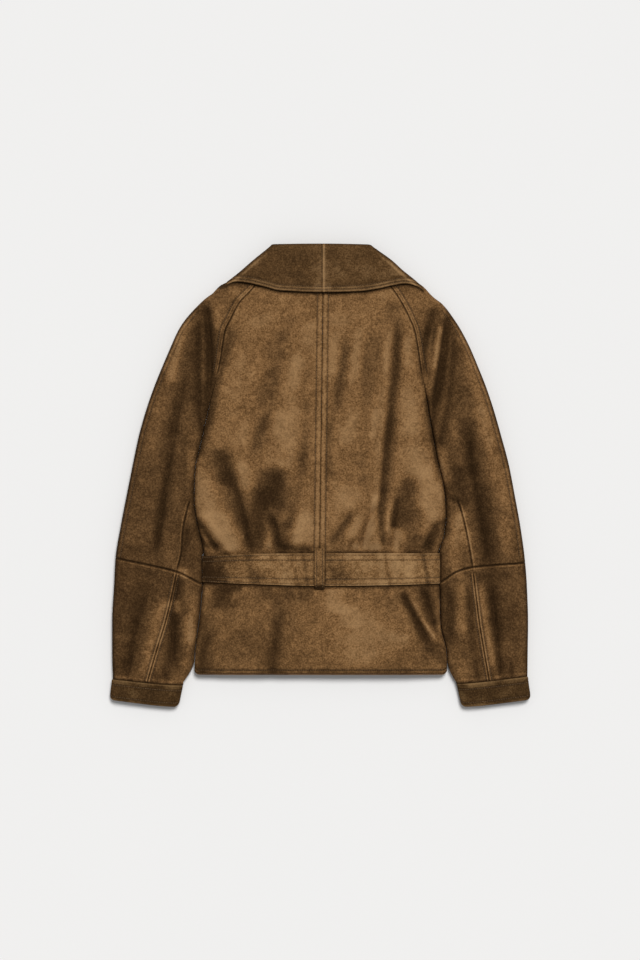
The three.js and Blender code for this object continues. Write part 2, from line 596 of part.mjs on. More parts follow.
function sleeveFront(side) {
  return panel({
    from: side.outer, to: side.inner, near: [ROLLED_SIDE, ROLLED_SIDE, 3],
    rows: [
      ...levels([...FRONT_SHOULDER_ROWS, 116, 88]),
      ...between(level(56), ABOVE_ELBOW(side), FRONT_ELBOW_PARTS),
    ],
    height: sleeveFace(side), facing: -1, rimZ: SLEEVE_FRONT_RIM,
  });
}

// The forearm below the elbow seam, its back cut in two along the hind-arm seam
function forearmPanel(side, from, to, near, count, height, facing, rimZ) {
  return panel({
    from, to, near, rows: between(BELOW_ELBOW(side), ABOVE_CUFF, evenly(count)), height, facing, rimZ,
  });
}

function forearmBackOuter(side) {
  const to = (y) => side.hind(y) + side.sign * (SEAM_GAP / 2);
  return forearmPanel(side, side.outer, to, [ROLLED_SIDE, CUT_SIDE, 7], 9, sleeveTop(side), 1, SLEEVE_RIM);
}

function forearmBackInner(side) {
  const from = (y) => side.hind(y) - side.sign * (SEAM_GAP / 2);
  return forearmPanel(side, from, side.inner, [CUT_SIDE, ROLLED_SIDE, 4], 9, sleeveTop(side), 1, SLEEVE_RIM);
}

function forearmFront(side) {
  const near = [ROLLED_SIDE, ROLLED_SIDE, 3];
  return forearmPanel(side, side.outer, side.inner, near, 4, sleeveFace(side), -1, SLEEVE_FRONT_RIM);
}

// A cuff: one band all round the end of the sleeve
function cuff(side) {
  const CUFF_HEIGHT = 13.6;
  const CUFF_MIDDLE_Y = -315;
  const across = [0, 0.008, 0.035, 0.085, 0.16, 0.28, 0.42, 0.58, 0.72, 0.84, 0.915, 0.965, 0.992, 1];
  const overTop = across.map((part) => [part, 1]);
  const backUnder = across.slice(1, -1).reverse().map((part) => [part, -1]);
  const ring = [...overTop, ...backUnder];
  const rings = [0, 0.5, 1].map((down) => ring.map(([part, facing]) => {
    let y = CUFF_MIDDLE_Y;
    let x = 0;
    for (let pass = 0; pass < 6; pass += 1) {
      x = mix(side.cuffOuter(y), side.cuffInner(y), part);
      const near = Math.min(Math.abs(x - side.cuffOuter(y)), Math.abs(x - side.cuffInner(y)));
      const foot = cuffFoot(x) + CUFF_CORNER_ROUND * (1 - rolled(near, CUFF_CORNER_ROUND));
      y = mix(cuffTop(x) - SEAM_GAP / 2, foot, down);
    }
    const width = Math.abs(side.cuffOuter(y) - side.cuffInner(y));
    const radius = facing > 0 ? SLEEVE_ROLL : FLOOR_ROLL;
    const roll = rolled(part * width, radius) * rolled((1 - part) * width, radius);
    return new THREE.Vector3(x, y, mix(SLEEVE_SEAM_Z, facing > 0 ? CUFF_HEIGHT : 0, roll));
  }));
  const inner = rings.map((points) => points.map((point, i) => {
    const before = points[(i + points.length - 1) % points.length];
    const after = points[(i + 1) % points.length];
    const way = new THREE.Vector3().subVectors(after, before).normalize();
    const inwards = new THREE.Vector3(way.z, 0, -way.x).multiplyScalar(CUFF_CLOTH * -side.sign);
    return point.clone().add(inwards);
  }));
  return wall(rings, inner, true);
}

// The collar's two halves over the back, joined at the centre back
function collarLeaf(side) {
  const seam = centreBack(300) + side.sign * (SEAM_GAP / 2);
  const end = COLLAR_ENDS[side.name];
  const columns = evenly(12).map((part) => mix(seam, end, part));
  const OUTLINE_STEPS = [0, 0.28, 0.55, 0.76, 0.9, 0.975, 1];
  const STEP = 0.25;
  const outer = [];
  const inner = [];
  for (const part of OUTLINE_STEPS) {
    const points = columns.map((x) => {
      const [low, high] = [collarEdge(x), collarTop(x)];
      const y = mix(low, high, part);
      const inside = Math.min(y, high - STEP);
      const slopeY = (collarTopFace(x, inside + STEP) - collarTopFace(x, inside - STEP)) / (2 * STEP);
      const slopeX = (collarTopFace(x + STEP, inside) - collarTopFace(x - STEP, inside)) / (2 * STEP);
      const skin = new THREE.Vector3(x, y, collarTopFace(x, y));
      const up = new THREE.Vector3(-slopeX, -slopeY, 1).normalize();
      const back = skin.clone().addScaledVector(up, -COLLAR_CLOTH);
      back.z = Math.max(back.z, collarRimZ(x) + SEAM_GAP / 2);
      if (x === seam) back.x = seam;
      return [skin, back];
    });
    outer.push(points.map((pair) => pair[0]));
    inner.push(points.map((pair) => pair[1]));
  }
  return wall(outer, inner);
}

function collarStand() {
  return panel({
    from: () => -60, to: () => 64, near: [CUT_SIDE, CUT_SIDE, 10],
    rows: between(level(NECK_Y + SEAM_GAP), (x) => collarTop(x), [0, 0.5, 0.8, 0.92, 0.985, 1]),
    height: standFace, facing: -1, rimZ: collarRimZ(0) - SEAM_GAP / 2,
  });
}

function lapel(side) {
  return panel({
    from: side.lapel, to: side.front, near: [ROLLED_SIDE, CUT_SIDE, 4],
    rows: levels([LAPEL_TOP_Y, 313, 296, 284, 272, 262, 250, 230, 200, 170, 135, BREAK_Y]),
    height: lapelFace, facing: -1, rimZ: COLLAR_SEAM_Z - SEAM_GAP / 2,
  });
}

// The belt: one strip laid round the waist, its ends lapping at the front
const BELT_FACE_Z = crown(0, WAIST_Y, 'torso') + BELT_EASE + BELT_CLOTH;

function beltPath() {
  const top = BELT_FACE_Z;
  const bends = [0, 0.04, 0.15, 0.32, 0.55, 0.78, 1];
  const turn = (edge, sign, radius, height) => bends.map((part) => {
    const distance = radius * part;
    return new THREE.Vector2(edge - sign * distance, mix(TORSO_SEAM_Z, height, rolled(distance, radius)));
  });
  const floorLeft = turn(BELT_SIDES.left, -1, FLOOR_ROLL + 3, 0).reverse();
  const overLeft = turn(BELT_SIDES.left, -1, TORSO_ROLL + 3, top).slice(1);
  const overRight = turn(BELT_SIDES.right, 1, TORSO_ROLL + 3, top).reverse();
  const floorRight = turn(BELT_SIDES.right, 1, FLOOR_ROLL + 3, 0).slice(1);
  const flat = (from, to, z, steps) => evenly(steps).map((part) => new THREE.Vector2(mix(from, to, part), z));
  return [
    ...flat(BELT_END_X, -150, 0, 6), ...floorLeft, ...overLeft, ...flat(-145, 146, top, 10), ...overRight,
    ...floorRight, ...flat(150, BELT_END_X + 22, 0, 3), ...flat(BELT_END_X + 8, -BELT_END_X, BELT_LIFT, 3),
  ];
}

function belt() {
  return strip(beltPath(), BELT_CLOTH, [beltTop, beltFoot]);
}

// The loop that holds the belt at the centre back, sewn to the cloth above and below it
function beltLoop() {
  const bridge = BELT_FACE_Z + REST_GAP + LOOP_CLOTH;
  const height = (x, y) => {
    const overBelt = ease(y, -165.8, -161.6) * (1 - ease(y, -113, -108.5));
    return mix(torsoTop(x, y) + REST_GAP + LOOP_CLOTH, bridge, overBelt);
  };
  return panel({
    from: () => LOOP.left, to: () => LOOP.right, near: [CUT_SIDE, CUT_SIDE, 2],
    rows: levels([LOOP.top, -108.5, -110.5, -113, -120, -137, -154, -161.6, -163.5, LOOP.foot]),
    height, facing: 1, cloth: LOOP_CLOTH,
  });
}

for (const side of [LEFT, RIGHT]) {
  add(`back_${side.name}`, backPanel(side), 'body');
  add(`front_${side.name}`, frontPanel(side), 'body');
  add(`skirt_front_${side.name}`, skirtFront(side), 'body');
  add(`sleeve_back_${side.name}`, sleeveBack(side), 'body');
  add(`sleeve_under_${side.name}`, sleeveUnder(side, UNDER_FIRST_ROW[side.name]), 'body');
  add(`sleeve_front_${side.name}`, sleeveFront(side), 'body');
  add(`forearm_outer_${side.name}`, forearmBackOuter(side), 'body');
  add(`forearm_inner_${side.name}`, forearmBackInner(side), 'body');
  add(`forearm_front_${side.name}`, forearmFront(side), 'body');
  add(`cuff_${side.name}`, cuff(side), 'cuff');
  add(`collar_${side.name}`, collarLeaf(side), 'collar');
  add(`lapel_${side.name}`, lapel(side), 'collar');
}
add('skirt_back', skirtBack(), 'body');
add('collar_stand', collarStand(), 'collar');
add('belt', belt(), 'belt');
add('belt_loop', beltLoop(), 'belt');

export default jacket;
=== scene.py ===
"""A cropped brown suede jacket, laid flat on its front so that its back faces up.

The collar points to +Y, the hem to -Y and the wearer's left side to -X. Every size is in millimetres until
a mesh is made of it, and in metres from there on.

The jacket is two sheets of cloth, one over the other. Each is a height over the floor, a function of x and
y, and every panel is a wall of cloth whose outer skin is that height between two side edges. Folds, seams
and unevenness are added to the height, so that neighbouring panels still meet edge to edge.
"""
import logging
import math
from dataclasses import dataclass, field
from enum import Enum
from typing import Callable, Iterable, Sequence

import bpy
import numpy as np
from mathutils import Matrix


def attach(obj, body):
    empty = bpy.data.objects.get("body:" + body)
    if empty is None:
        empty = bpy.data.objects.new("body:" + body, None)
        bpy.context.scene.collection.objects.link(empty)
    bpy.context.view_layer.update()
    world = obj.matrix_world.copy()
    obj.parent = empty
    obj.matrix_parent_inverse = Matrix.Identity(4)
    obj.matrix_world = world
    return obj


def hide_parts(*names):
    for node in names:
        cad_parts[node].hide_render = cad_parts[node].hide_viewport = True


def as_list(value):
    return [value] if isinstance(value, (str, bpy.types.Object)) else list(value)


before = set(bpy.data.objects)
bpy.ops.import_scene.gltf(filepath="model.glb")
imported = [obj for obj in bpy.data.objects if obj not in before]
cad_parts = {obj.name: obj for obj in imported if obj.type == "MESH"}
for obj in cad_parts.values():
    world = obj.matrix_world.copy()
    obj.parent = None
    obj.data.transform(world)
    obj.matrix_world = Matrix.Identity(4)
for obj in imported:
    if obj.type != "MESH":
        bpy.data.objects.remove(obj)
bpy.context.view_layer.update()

log = logging.getLogger("suede_jacket")

Array = np.ndarray
Height = Callable[[Array, Array], Array]
Edge = Callable[[Array], Array]
Rgb = tuple[float, float, float]
Bells = tuple[tuple[float, float, float], ...]
Span = tuple[float, float, float, float]
Socket = bpy.types.NodeSocket
Node = bpy.types.Node
Material = bpy.types.Material
Piece = bpy.types.Object
FoldTable = Iterable[tuple["Place", Iterable[Sequence[float]]]]

METRE = 1000.0
BODY = "root"

# Cloth and seams
SUEDE = 1.6
CUFF_CLOTH = 2.2
COLLAR_CLOTH = 2.2
BELT_CLOTH = 2.4
LOOP_CLOTH = 1.8
SEAM_GAP = 0.3
HALF_GAP = SEAM_GAP / 2
REST_GAP = 0.5
BELT_EASE = 1.1

# Where the main lines lie along the jacket
NECK_Y = 303.0
ARMPIT_Y = 145.0
ARMHOLE_CLOSED_Y = 98.0
LAP_TOP_Y = 34.0
FRONTS_PART_Y = 66.0
BREAK_Y = 100.0
WAIST_Y = -137.75
HEM_Y = -290.0
SLANT_START_Y = 20.0
ELBOW_LEVEL_Y = -135.0
LAPEL_TOP_Y = 329.0
LAPEL_CORNER_Y = 262.0

# Heights of the seams that run round the jacket's edges, and the radii of its rolled edges
TORSO_SEAM_Z = 10.0
SLEEVE_SEAM_Z = 7.5
COLLAR_SEAM_Z = 11.0
STAND_Z = 13.9
TORSO_ROLL = 16.0
SLEEVE_ROLL = 16.0
INNER_ROLL = 13.0
FLOOR_ROLL = 10.0
COLLAR_ROLL = 14.0
LAPEL_ROLL = 12.0
CORNER_ROUND = 8.0
CUFF_CORNER_ROUND = 6.0

# Fastening at the centre front, and how far a layer lifts the one that lies on it
FRONT_LAP = 18.0
LAP_SLOPE = (20.0, 46.0)
LAYER_LIFT = 2.3
LIFTED = (0.5, 2.0)
LAPEL_INSET = 3.0
LAPEL_PUSH = 1.3
LAPEL_SLOPE = (9.0, 34.0)
LAPEL_FOOT = (74.0, 92.0)
BELT_LIFT = 2.9
BELT_SLOPES = (-176.0, -165.0, -110.0, -99.0)
BELT_END_X = 35.0
BELT_END_SLOPE = (23.0, 47.0)

# Outline tables, each row a place along the jacket and the lines' places there, left and right
SLEEVE_OUTLINE = (
    (303, -99, 104), (288, -118, 122), (282, -132, 136.5), (276, -145, 147), (270, -151.6, 153.6),
    (264, -157, 158.8), (258, -165.6, 165), (248, -176.6, 177.8), (225, -197.4, 195.4), (210, -207, 204.8),
    (185, -218.3, 217.6), (160, -229, 228.2), (130, -241.2, 240.2), (95, -253.4, 252), (55, -264.6, 263.4),
    (15, -273, 274), (-30, -282, 282.7), (-75, -290.7, 290.8), (-120, -298, 297),
    (-160, -300.2, 300.2), (-215, -303, 302), (-260, -303, 301.4), (-300, -301.8, 301),
)
TORSO_EDGE = (
    (303, -76, 77), (272, -97, 103), (249, -118, 118), (225, -130.5, 130), (210, -138, 136),
    (185, -142.4, 141.1), (165, -145.4, 144.2), (150, -148.4, 146.6), (135, -152.2, 149.4),
    (118, -156.7, 152.7), (82, -165.7, 159), (43, -174.4, 166), (16, -181, 171.2),
    (-6, -182.8, 176.9), (-36, -183.4, 181.3), (-62, -180.5, 182), (-88, -174.7, 179.3),
    (-105, -170.9, 173.4), (-112, -170, 171.6), (-156, -170, 171.6), (-161, -171.2, 172.7),
    (-169, -172.1, 173.2), (-182, -172.9, 173.4), (-217, -176.9, 174.4), (-257, -182, 183),
    (-289, -183.4, 184.2),
)
SLEEVE_INNER = (
    (145, -149.9, 147.8), (135, -152.6, 149.8), (118, -157.1, 153.1), (82, -166.1, 159.4),
    (43, -174.8, 166.4), (16, -181.4, 171.6), (-6, -183.2, 177.3), (-36, -183.8, 181.7),
    (-62, -180.9, 182.4), (-88, -175.1, 179.7), (-105, -171.3, 173.9), (-112, -170.4, 172),
    (-118, -172.4, 174.3), (-152, -172.4, 174.3), (-159, -171.4, 173), (-169, -172.6, 173.7),
    (-182, -173.4, 173.9), (-217, -177.4, 175), (-257, -182.6, 183.6), (-272, -183.8, 184.6),
    (-280, -186.2, 186.4), (-290, -191.8, 190.6), (-301, -199.4, 197),
)
ELBOW_LEFT = ((-298, -120.4), (-254, -129.5), (-208, -140.5), (-174.7, -157))
ELBOW_RIGHT = ((175, -155), (200.5, -139), (223.6, -133.3), (295.2, -127.5))
HIND_SEAM = (
    (16, -181.2, 172.4), (-18, -184.4, 190), (-49, -193, 202.9), (-81, -199.5, 210.9),
    (-111, -201.5, 216.6), (-138, -208, 221), (-178, -216.3, 225.9), (-215, -225.5, 230.6),
    (-255, -238, 237.2), (-299, -251, 245),
)
CUFF_OUTER = ((-293, -302.8, 301.6), (-306, -304.4, 303.4), (-322, -306, 305.4), (-336, -306, 305.8))
CUFF_INNER = ((-293, -197.8, 195.6), (-306, -200.1, 198.4), (-322, -203.2, 201.8), (-337, -206.6, 205))
CUFF_TOP = ((-304, -296.9), (-198, -305.6), (194, -303.4), (302, -292.8))
CUFF_FOOT = ((-306, -327), (-206, -337), (203, -337), (306, -326.6))
COLLAR_TOP = (
    (-155.5, 265), (-140, 277.6), (-120, 293.2), (-95.8, 314), (-74, 331.2), (-70, 334.6), (-66, 335),
    (0, 335.8), (69, 334.6), (73, 333.8), (77, 330.8), (102.6, 313), (119, 298.2), (140.7, 280.4),
    (158.8, 262.3),
)
COLLAR_EDGE = (
    (-139, 274.6), (-134, 277.2), (-124, 280.4), (-105.3, 278.6), (-82, 273.2), (-58.7, 267.5),
    (3.5, 264.9), (55.2, 266.2), (82, 269.8), (107, 275.2), (122.5, 277.4), (140.7, 273.6), (152, 265.6),
)
FRONT_EDGE = (
    (-290, FRONT_LAP, -FRONT_LAP), (LAP_TOP_Y, FRONT_LAP, -FRONT_LAP), (FRONTS_PART_Y, -4, 4),
    (BREAK_Y, -4, 4), (335, -70, 74),
)
LAPEL_EDGE = (
    (BREAK_Y, -14, 14), (170, -104, 104), (230, -139, 139), (262, -154, 155),
    (276.5, -138.4, 143.8), (292, -118, 126), (313, -94.6, 101), (331, -74.4, 78),
)
BELT_EDGES = (
    (-172, -117.6, -155.5), (-90, -114.2, -158.6), (0, -113.6, -161), (90, -113.6, -160),
    (174, -113.7, -157.6),
)
# How high the upper sheet stands, in the middle and over the sleeves
LOFT = (
    (336, 15.5, 14), (303, 15.5, 14.5), (285, 17, 15.5), (265, 19.5, 17), (240, 22, 19), (200, 24, 21),
    (100, 25, 21), (0, 25.5, 20.5), (-80, 26.5, 20.5), (-98, 25, 20.5), (-108, 20.5, 20), (-113, 18.5, 20),
    (-163, 18.5, 19), (-172, 20.5, 19), (-220, 21.5, 18.5), (-289, 19, 15), (-300, 19, 14), (-336, 19, 13.8),
)


class Place(Enum):
    """The cloth that a fold or a seam lies in."""

    BACK = "back"
    SLEEVE = "sleeve"
    UPPER = "back and sleeve"
    FRONT = "front"
    UNDER_SLEEVE = "front of the sleeve"

    def shows_in(self, cloth: "Place") -> bool:
        """Whether what lies in this place shows in that cloth."""
        return self is cloth or (self is Place.UPPER and cloth in (Place.BACK, Place.SLEEVE))


class Run(Enum):
    """The way that a line runs: down the jacket or across it."""

    DOWN = "down"
    ACROSS = "across"


class Facing(Enum):
    """The way that a panel's outer skin looks."""

    UP = 1
    DOWN = -1


BACK, SLEEVE, UPPER = Place.BACK, Place.SLEEVE, Place.UPPER
FRONT, UNDER_SLEEVE = Place.FRONT, Place.UNDER_SLEEVE

# Folds, in groups by the cloth that they lie in. A row has x and y of the fold's three points from one end
# to the other, its height (negative for a trough), its half widths before and after the line, and the
# length over which its two ends fade
FOLDS = (
    # The back, right of the centre seam
    (BACK, (
        (109, 222, 101, 70, 88, -84, -4.2, 8, 11, 34), (99, 190, 88, 60, 81, -60, 1.8, 9, 8, 40),
        (84, -38, 66, -74, 57, -114, -4.2, 7, 9, 16), (113, -26, 106, -70, 101, -114, -4.2, 7, 10, 16),
        (171, -64, 160, -88, 147, -114, -4.4, 7, 8, 12), (78, 215, 74, 150, 66, 40, -1.4, 12, 12, 40),
        (38, 212, 31, 150, 24, 80, -1.5, 10, 10, 30), (128, 20, 131, -30, 124, -80, -2.6, 13, 13, 26),
        (52, -46, 33, -76, 17, -104, -2.2, 9, 10, 18),
    )),
    # The back, left of the centre seam
    (BACK, (
        (-180, -68, -161, -90, -147, -114, -4.6, 7, 8, 12),
        (-142, 46, -123, -24, -106, -114, -4.2, 9, 11, 26),
        (-62, 12, -79, -44, -95, -114, -3.4, 13, 14, 26), (-172, 2, -144, -54, -116, -104, 2, 12, 11, 26),
        (-76, -48, -67, -80, -60, -114, -3.8, 7, 8, 16), (-20, 70, -29, 0, -46, -92, -2, 11, 11, 30),
        (-56, 225, -69, 140, -98, -5, -1.8, 14, 14, 40),
    )),
    # The left sleeve and shoulder
    (SLEEVE, (
        (-167, 256, -160, 170, -165, 66, -6, 7, 7, 22), (-179, 232, -179, 150, -171, 48, -3, 6, 7, 26),
        (-196, 168, -219, 30, -242, -134, -5, 9, 7, 40),
    )),
    (UPPER, (
        (-130, 232, -139, 205, -147, 150, -2, 7, 6, 20),
    )),
    # The right sleeve and shoulder
    (UPPER, (
        (166, 250, 152, 190, 150, 128, -4, 7, 7, 22),
    )),
    (SLEEVE, (
        (184, 246, 171, 190, 158, 112, 1.8, 6, 6, 22), (187, 244, 177, 165, 160, 66, -6, 6, 8, 24),
        (195, 222, 191, 150, 171, 20, -3.4, 7, 8, 30), (209, 92, 222, -10, 244, -134, -5, 9, 9, 36),
    )),
    # The forearms
    (SLEEVE, (
        (-247, -140, -266, -212, -283, -300, -4.6, 8, 9, 22),
        (-207, -142, -213, -205, -216, -284, -4.6, 6, 8, 20),
        (243, -140, 252, -205, 261, -300, -4.6, 7, 8, 22),
        (184, -160, 191, -205, 188, -262, -3.2, 7, 7, 20),
    )),
    # The skirt
    (BACK, (
        (-56, -192, -65, -238, -73, -300, -2.6, 9, 9, 24),
        (-145, -162, -148, -180, -153, -208, -3.2, 9, 11, 16),
        (-158, -226, -169, -252, -178, -290, -2.2, 9, 9, 18),
        (116, -164, 137, -208, 163, -252, -4.2, 8, 9, 16),
        (146, -160, 159, -204, 173, -244, -3.4, 8, 7, 16),
    )),
)

# Sharper creases in and between the folds, in the same form
CREASES = (
    # Tucks that the belt draws in, right of the centre seam
    (BACK, (
        (82, -46, 66, -74, 58, -114, -2, 4, 1.8, 12), (88, -56, 75, -80, 65, -108, 1.6, 4, 5, 14),
        (112, -32, 105, -74, 102, -114, -2.2, 2, 5, 14), (99, -48, 97, -80, 95, -108, 1.3, 5, 3, 16),
        (80, -66, 81, -92, 79, -112, 1.4, 8, 9, 18), (169, -68, 160, -86, 148, -114, -2.4, 2, 4, 10),
        (174, -90, 169, -100, 164, -113, 1.3, 4, 5, 8), (137, -84, 134, -98, 132, -113, -2, 8, 9, 10),
        (50, -56, 31, -76, 18, -100, -0.9, 4, 4, 12), (110, 224, 104, 110, 92, -6, -1.1, 3.5, 6, 40),
        (10, 86, 9, 20, 10, -44, -0.9, 6, 7, 30), (56, 168, 84, 176, 128, 166, 0.9, 16, 16, 24),
        (70, 60, 62, 20, 66, -36, -1, 8, 8, 30), (139, 6, 136, -30, 128, -64, -0.9, 4, 5, 20),
    )),
    # Tucks left of the centre seam
    (BACK, (
        (-178, -80, -170, -99, -160, -114, -1.8, 1.8, 2.6, 9),
        (-173, -78, -157, -98, -148, -114, -2, 2.6, 1.8, 9),
        (-170, -88, -161, -101, -153, -113, 0.8, 3, 3, 8),
        (-127, -12, -113, -60, -106, -114, -2.5, 2, 5, 14), (-142, 34, -136, 10, -127, -12, -1, 4, 5, 14),
        (-76, -55, -65, -80, -61, -114, -2.3, 1.8, 4.5, 12), (-86, -58, -75, -84, -70, -110, 1.3, 4, 4, 14),
        (-28, -46, -41, -78, -53, -108, 1.5, 7, 7, 20), (-20, 62, -29, -10, -45, -80, -0.8, 4, 5, 30),
        (-56, 216, -64, 150, -76, 84, -0.9, 5, 7, 30), (-76, 86, -96, 40, -100, -2, -0.9, 6, 6, 24),
        (-20, 156, -23, 136, -25, 112, -0.8, 5, 5, 14), (-120, 120, -128, 80, -134, 40, 1, 12, 12, 30),
        (-66, -4, -82, -48, -94, -113, -1, 5, 6, 24), (-132, -86, -134, -98, -136, -113, -1.2, 6, 6, 12),
    )),
    # The left shoulder and sleeve
    (SLEEVE, (
        (-166, 250, -160, 170, -164, 84, -1.8, 2.6, 3.2, 18),
        (-178, 230, -179, 150, -172, 52, -1.2, 2.4, 3, 24),
        (-170, 244, -170, 180, -170, 110, 1.2, 3.5, 3.5, 24),
        (-215, 44, -229, -36, -241, -126, -2, 2.4, 3.2, 20),
        (-196, 144, -205, 104, -215, 48, -0.9, 4, 4, 20), (-199, 224, -208, 178, -223, 126, 1.3, 9, 9, 28),
        (-191, 40, -189, 14, -187, -10, 1.1, 5, 5, 14), (-192, -60, -194, -85, -196, -112, -1.5, 4, 4, 14),
        (-222, 30, -238, -40, -250, -116, 1.2, 7, 8, 30),
    )),
    (UPPER, (
        (-133, 224, -137, 213, -143, 203, -1, 2.4, 3, 7),
    )),
    (SLEEVE, (
        (-262, -78, -254, -92, -244, -104, -1.4, 4, 5, 8),
    )),
    # The right shoulder and sleeve
    (UPPER, (
        (165, 246, 152, 194, 149, 134, -1.4, 2.6, 2.8, 18),
    )),
    (SLEEVE, (
        (167, 222, 163, 198, 160, 172, -1.5, 2, 3, 12), (185, 238, 174, 170, 161, 70, -1.8, 2.2, 3.2, 18),
        (190, 210, 187, 176, 182, 138, 1.1, 4, 4, 16), (193, 216, 190, 140, 171, 30, -1.2, 2.8, 3.2, 24),
        (213, 56, 226, -36, 243, -126, -2, 2.6, 3.2, 18),
    )),
    (BACK, (
        (161, 68, 167, 28, 173, -8, -1.6, 4, 4, 16),
    )),
    (SLEEVE, (
        (200, -44, 206, -86, 210, -126, 1.6, 6, 8, 18), (206, 206, 224, 136, 242, 64, 1.3, 9, 9, 30),
        (234, 24, 250, -40, 264, -112, 1, 7, 8, 30),
    )),
    # The forearms
    (SLEEVE, (
        (-250, -166, -268, -216, -281, -296, -1.8, 2.4, 3.2, 16),
        (-236, -186, -247, -240, -260, -294, 1.1, 6, 6, 22),
        (-208, -148, -214, -206, -214, -272, -1.6, 2.4, 3, 16),
        (-190, -176, -188, -230, -203, -298, 1.3, 5, 5, 20),
        (-289, -264, -284, -282, -278, -302, -1.8, 2.6, 3, 10),
        (-195, -134, -196, -144, -197, -156, 1, 4, 4, 6), (205, -148, 208, -206, 213, -274, 1.3, 7, 7, 20),
        (217, -170, 219, -208, 222, -250, -1.6, 3, 4, 16), (233, -176, 242, -230, 256, -286, 1.1, 4, 5, 20),
        (245, -160, 253, -210, 261, -298, -1.8, 2.4, 3.2, 16),
        (224, -264, 225, -284, 226, -304, -1.6, 2.6, 3, 12),
        (249, -272, 250, -288, 251, -304, -1.5, 2.6, 3, 10),
        (276, -266, 277, -284, 278, -300, -1.7, 2.6, 3, 10),
        (-226, -272, -228, -288, -230, -302, -1.2, 3, 3, 10),
        (184, -166, 190, -202, 189, -244, -1.2, 2.6, 3, 16),
    )),
    # The skirt
    (BACK, (
        (-57, -202, -66, -244, -72, -296, -0.9, 4, 5, 24),
        (-164, -162, -165, -174, -167, -190, 0.9, 5, 5, 8),
        (-158, -230, -168, -250, -177, -268, -1.2, 3, 4, 12),
        (117, -166, 138, -210, 162, -250, -1.8, 2.4, 3.4, 14),
        (132, -180, 149, -212, 172, -244, 1.2, 4, 4, 16),
        (149, -163, 159, -202, 172, -240, -1.4, 2.2, 3, 12),
        (164, -166, 172, -206, 175, -234, 0.9, 4, 4, 14), (20, -164, 24, -196, 22, -232, -0.7, 8, 8, 20),
        (-104, -164, -108, -200, -104, -250, -0.8, 9, 9, 24),
        (78, -164, 84, -206, 80, -262, -0.8, 9, 9, 24),
    )),
)

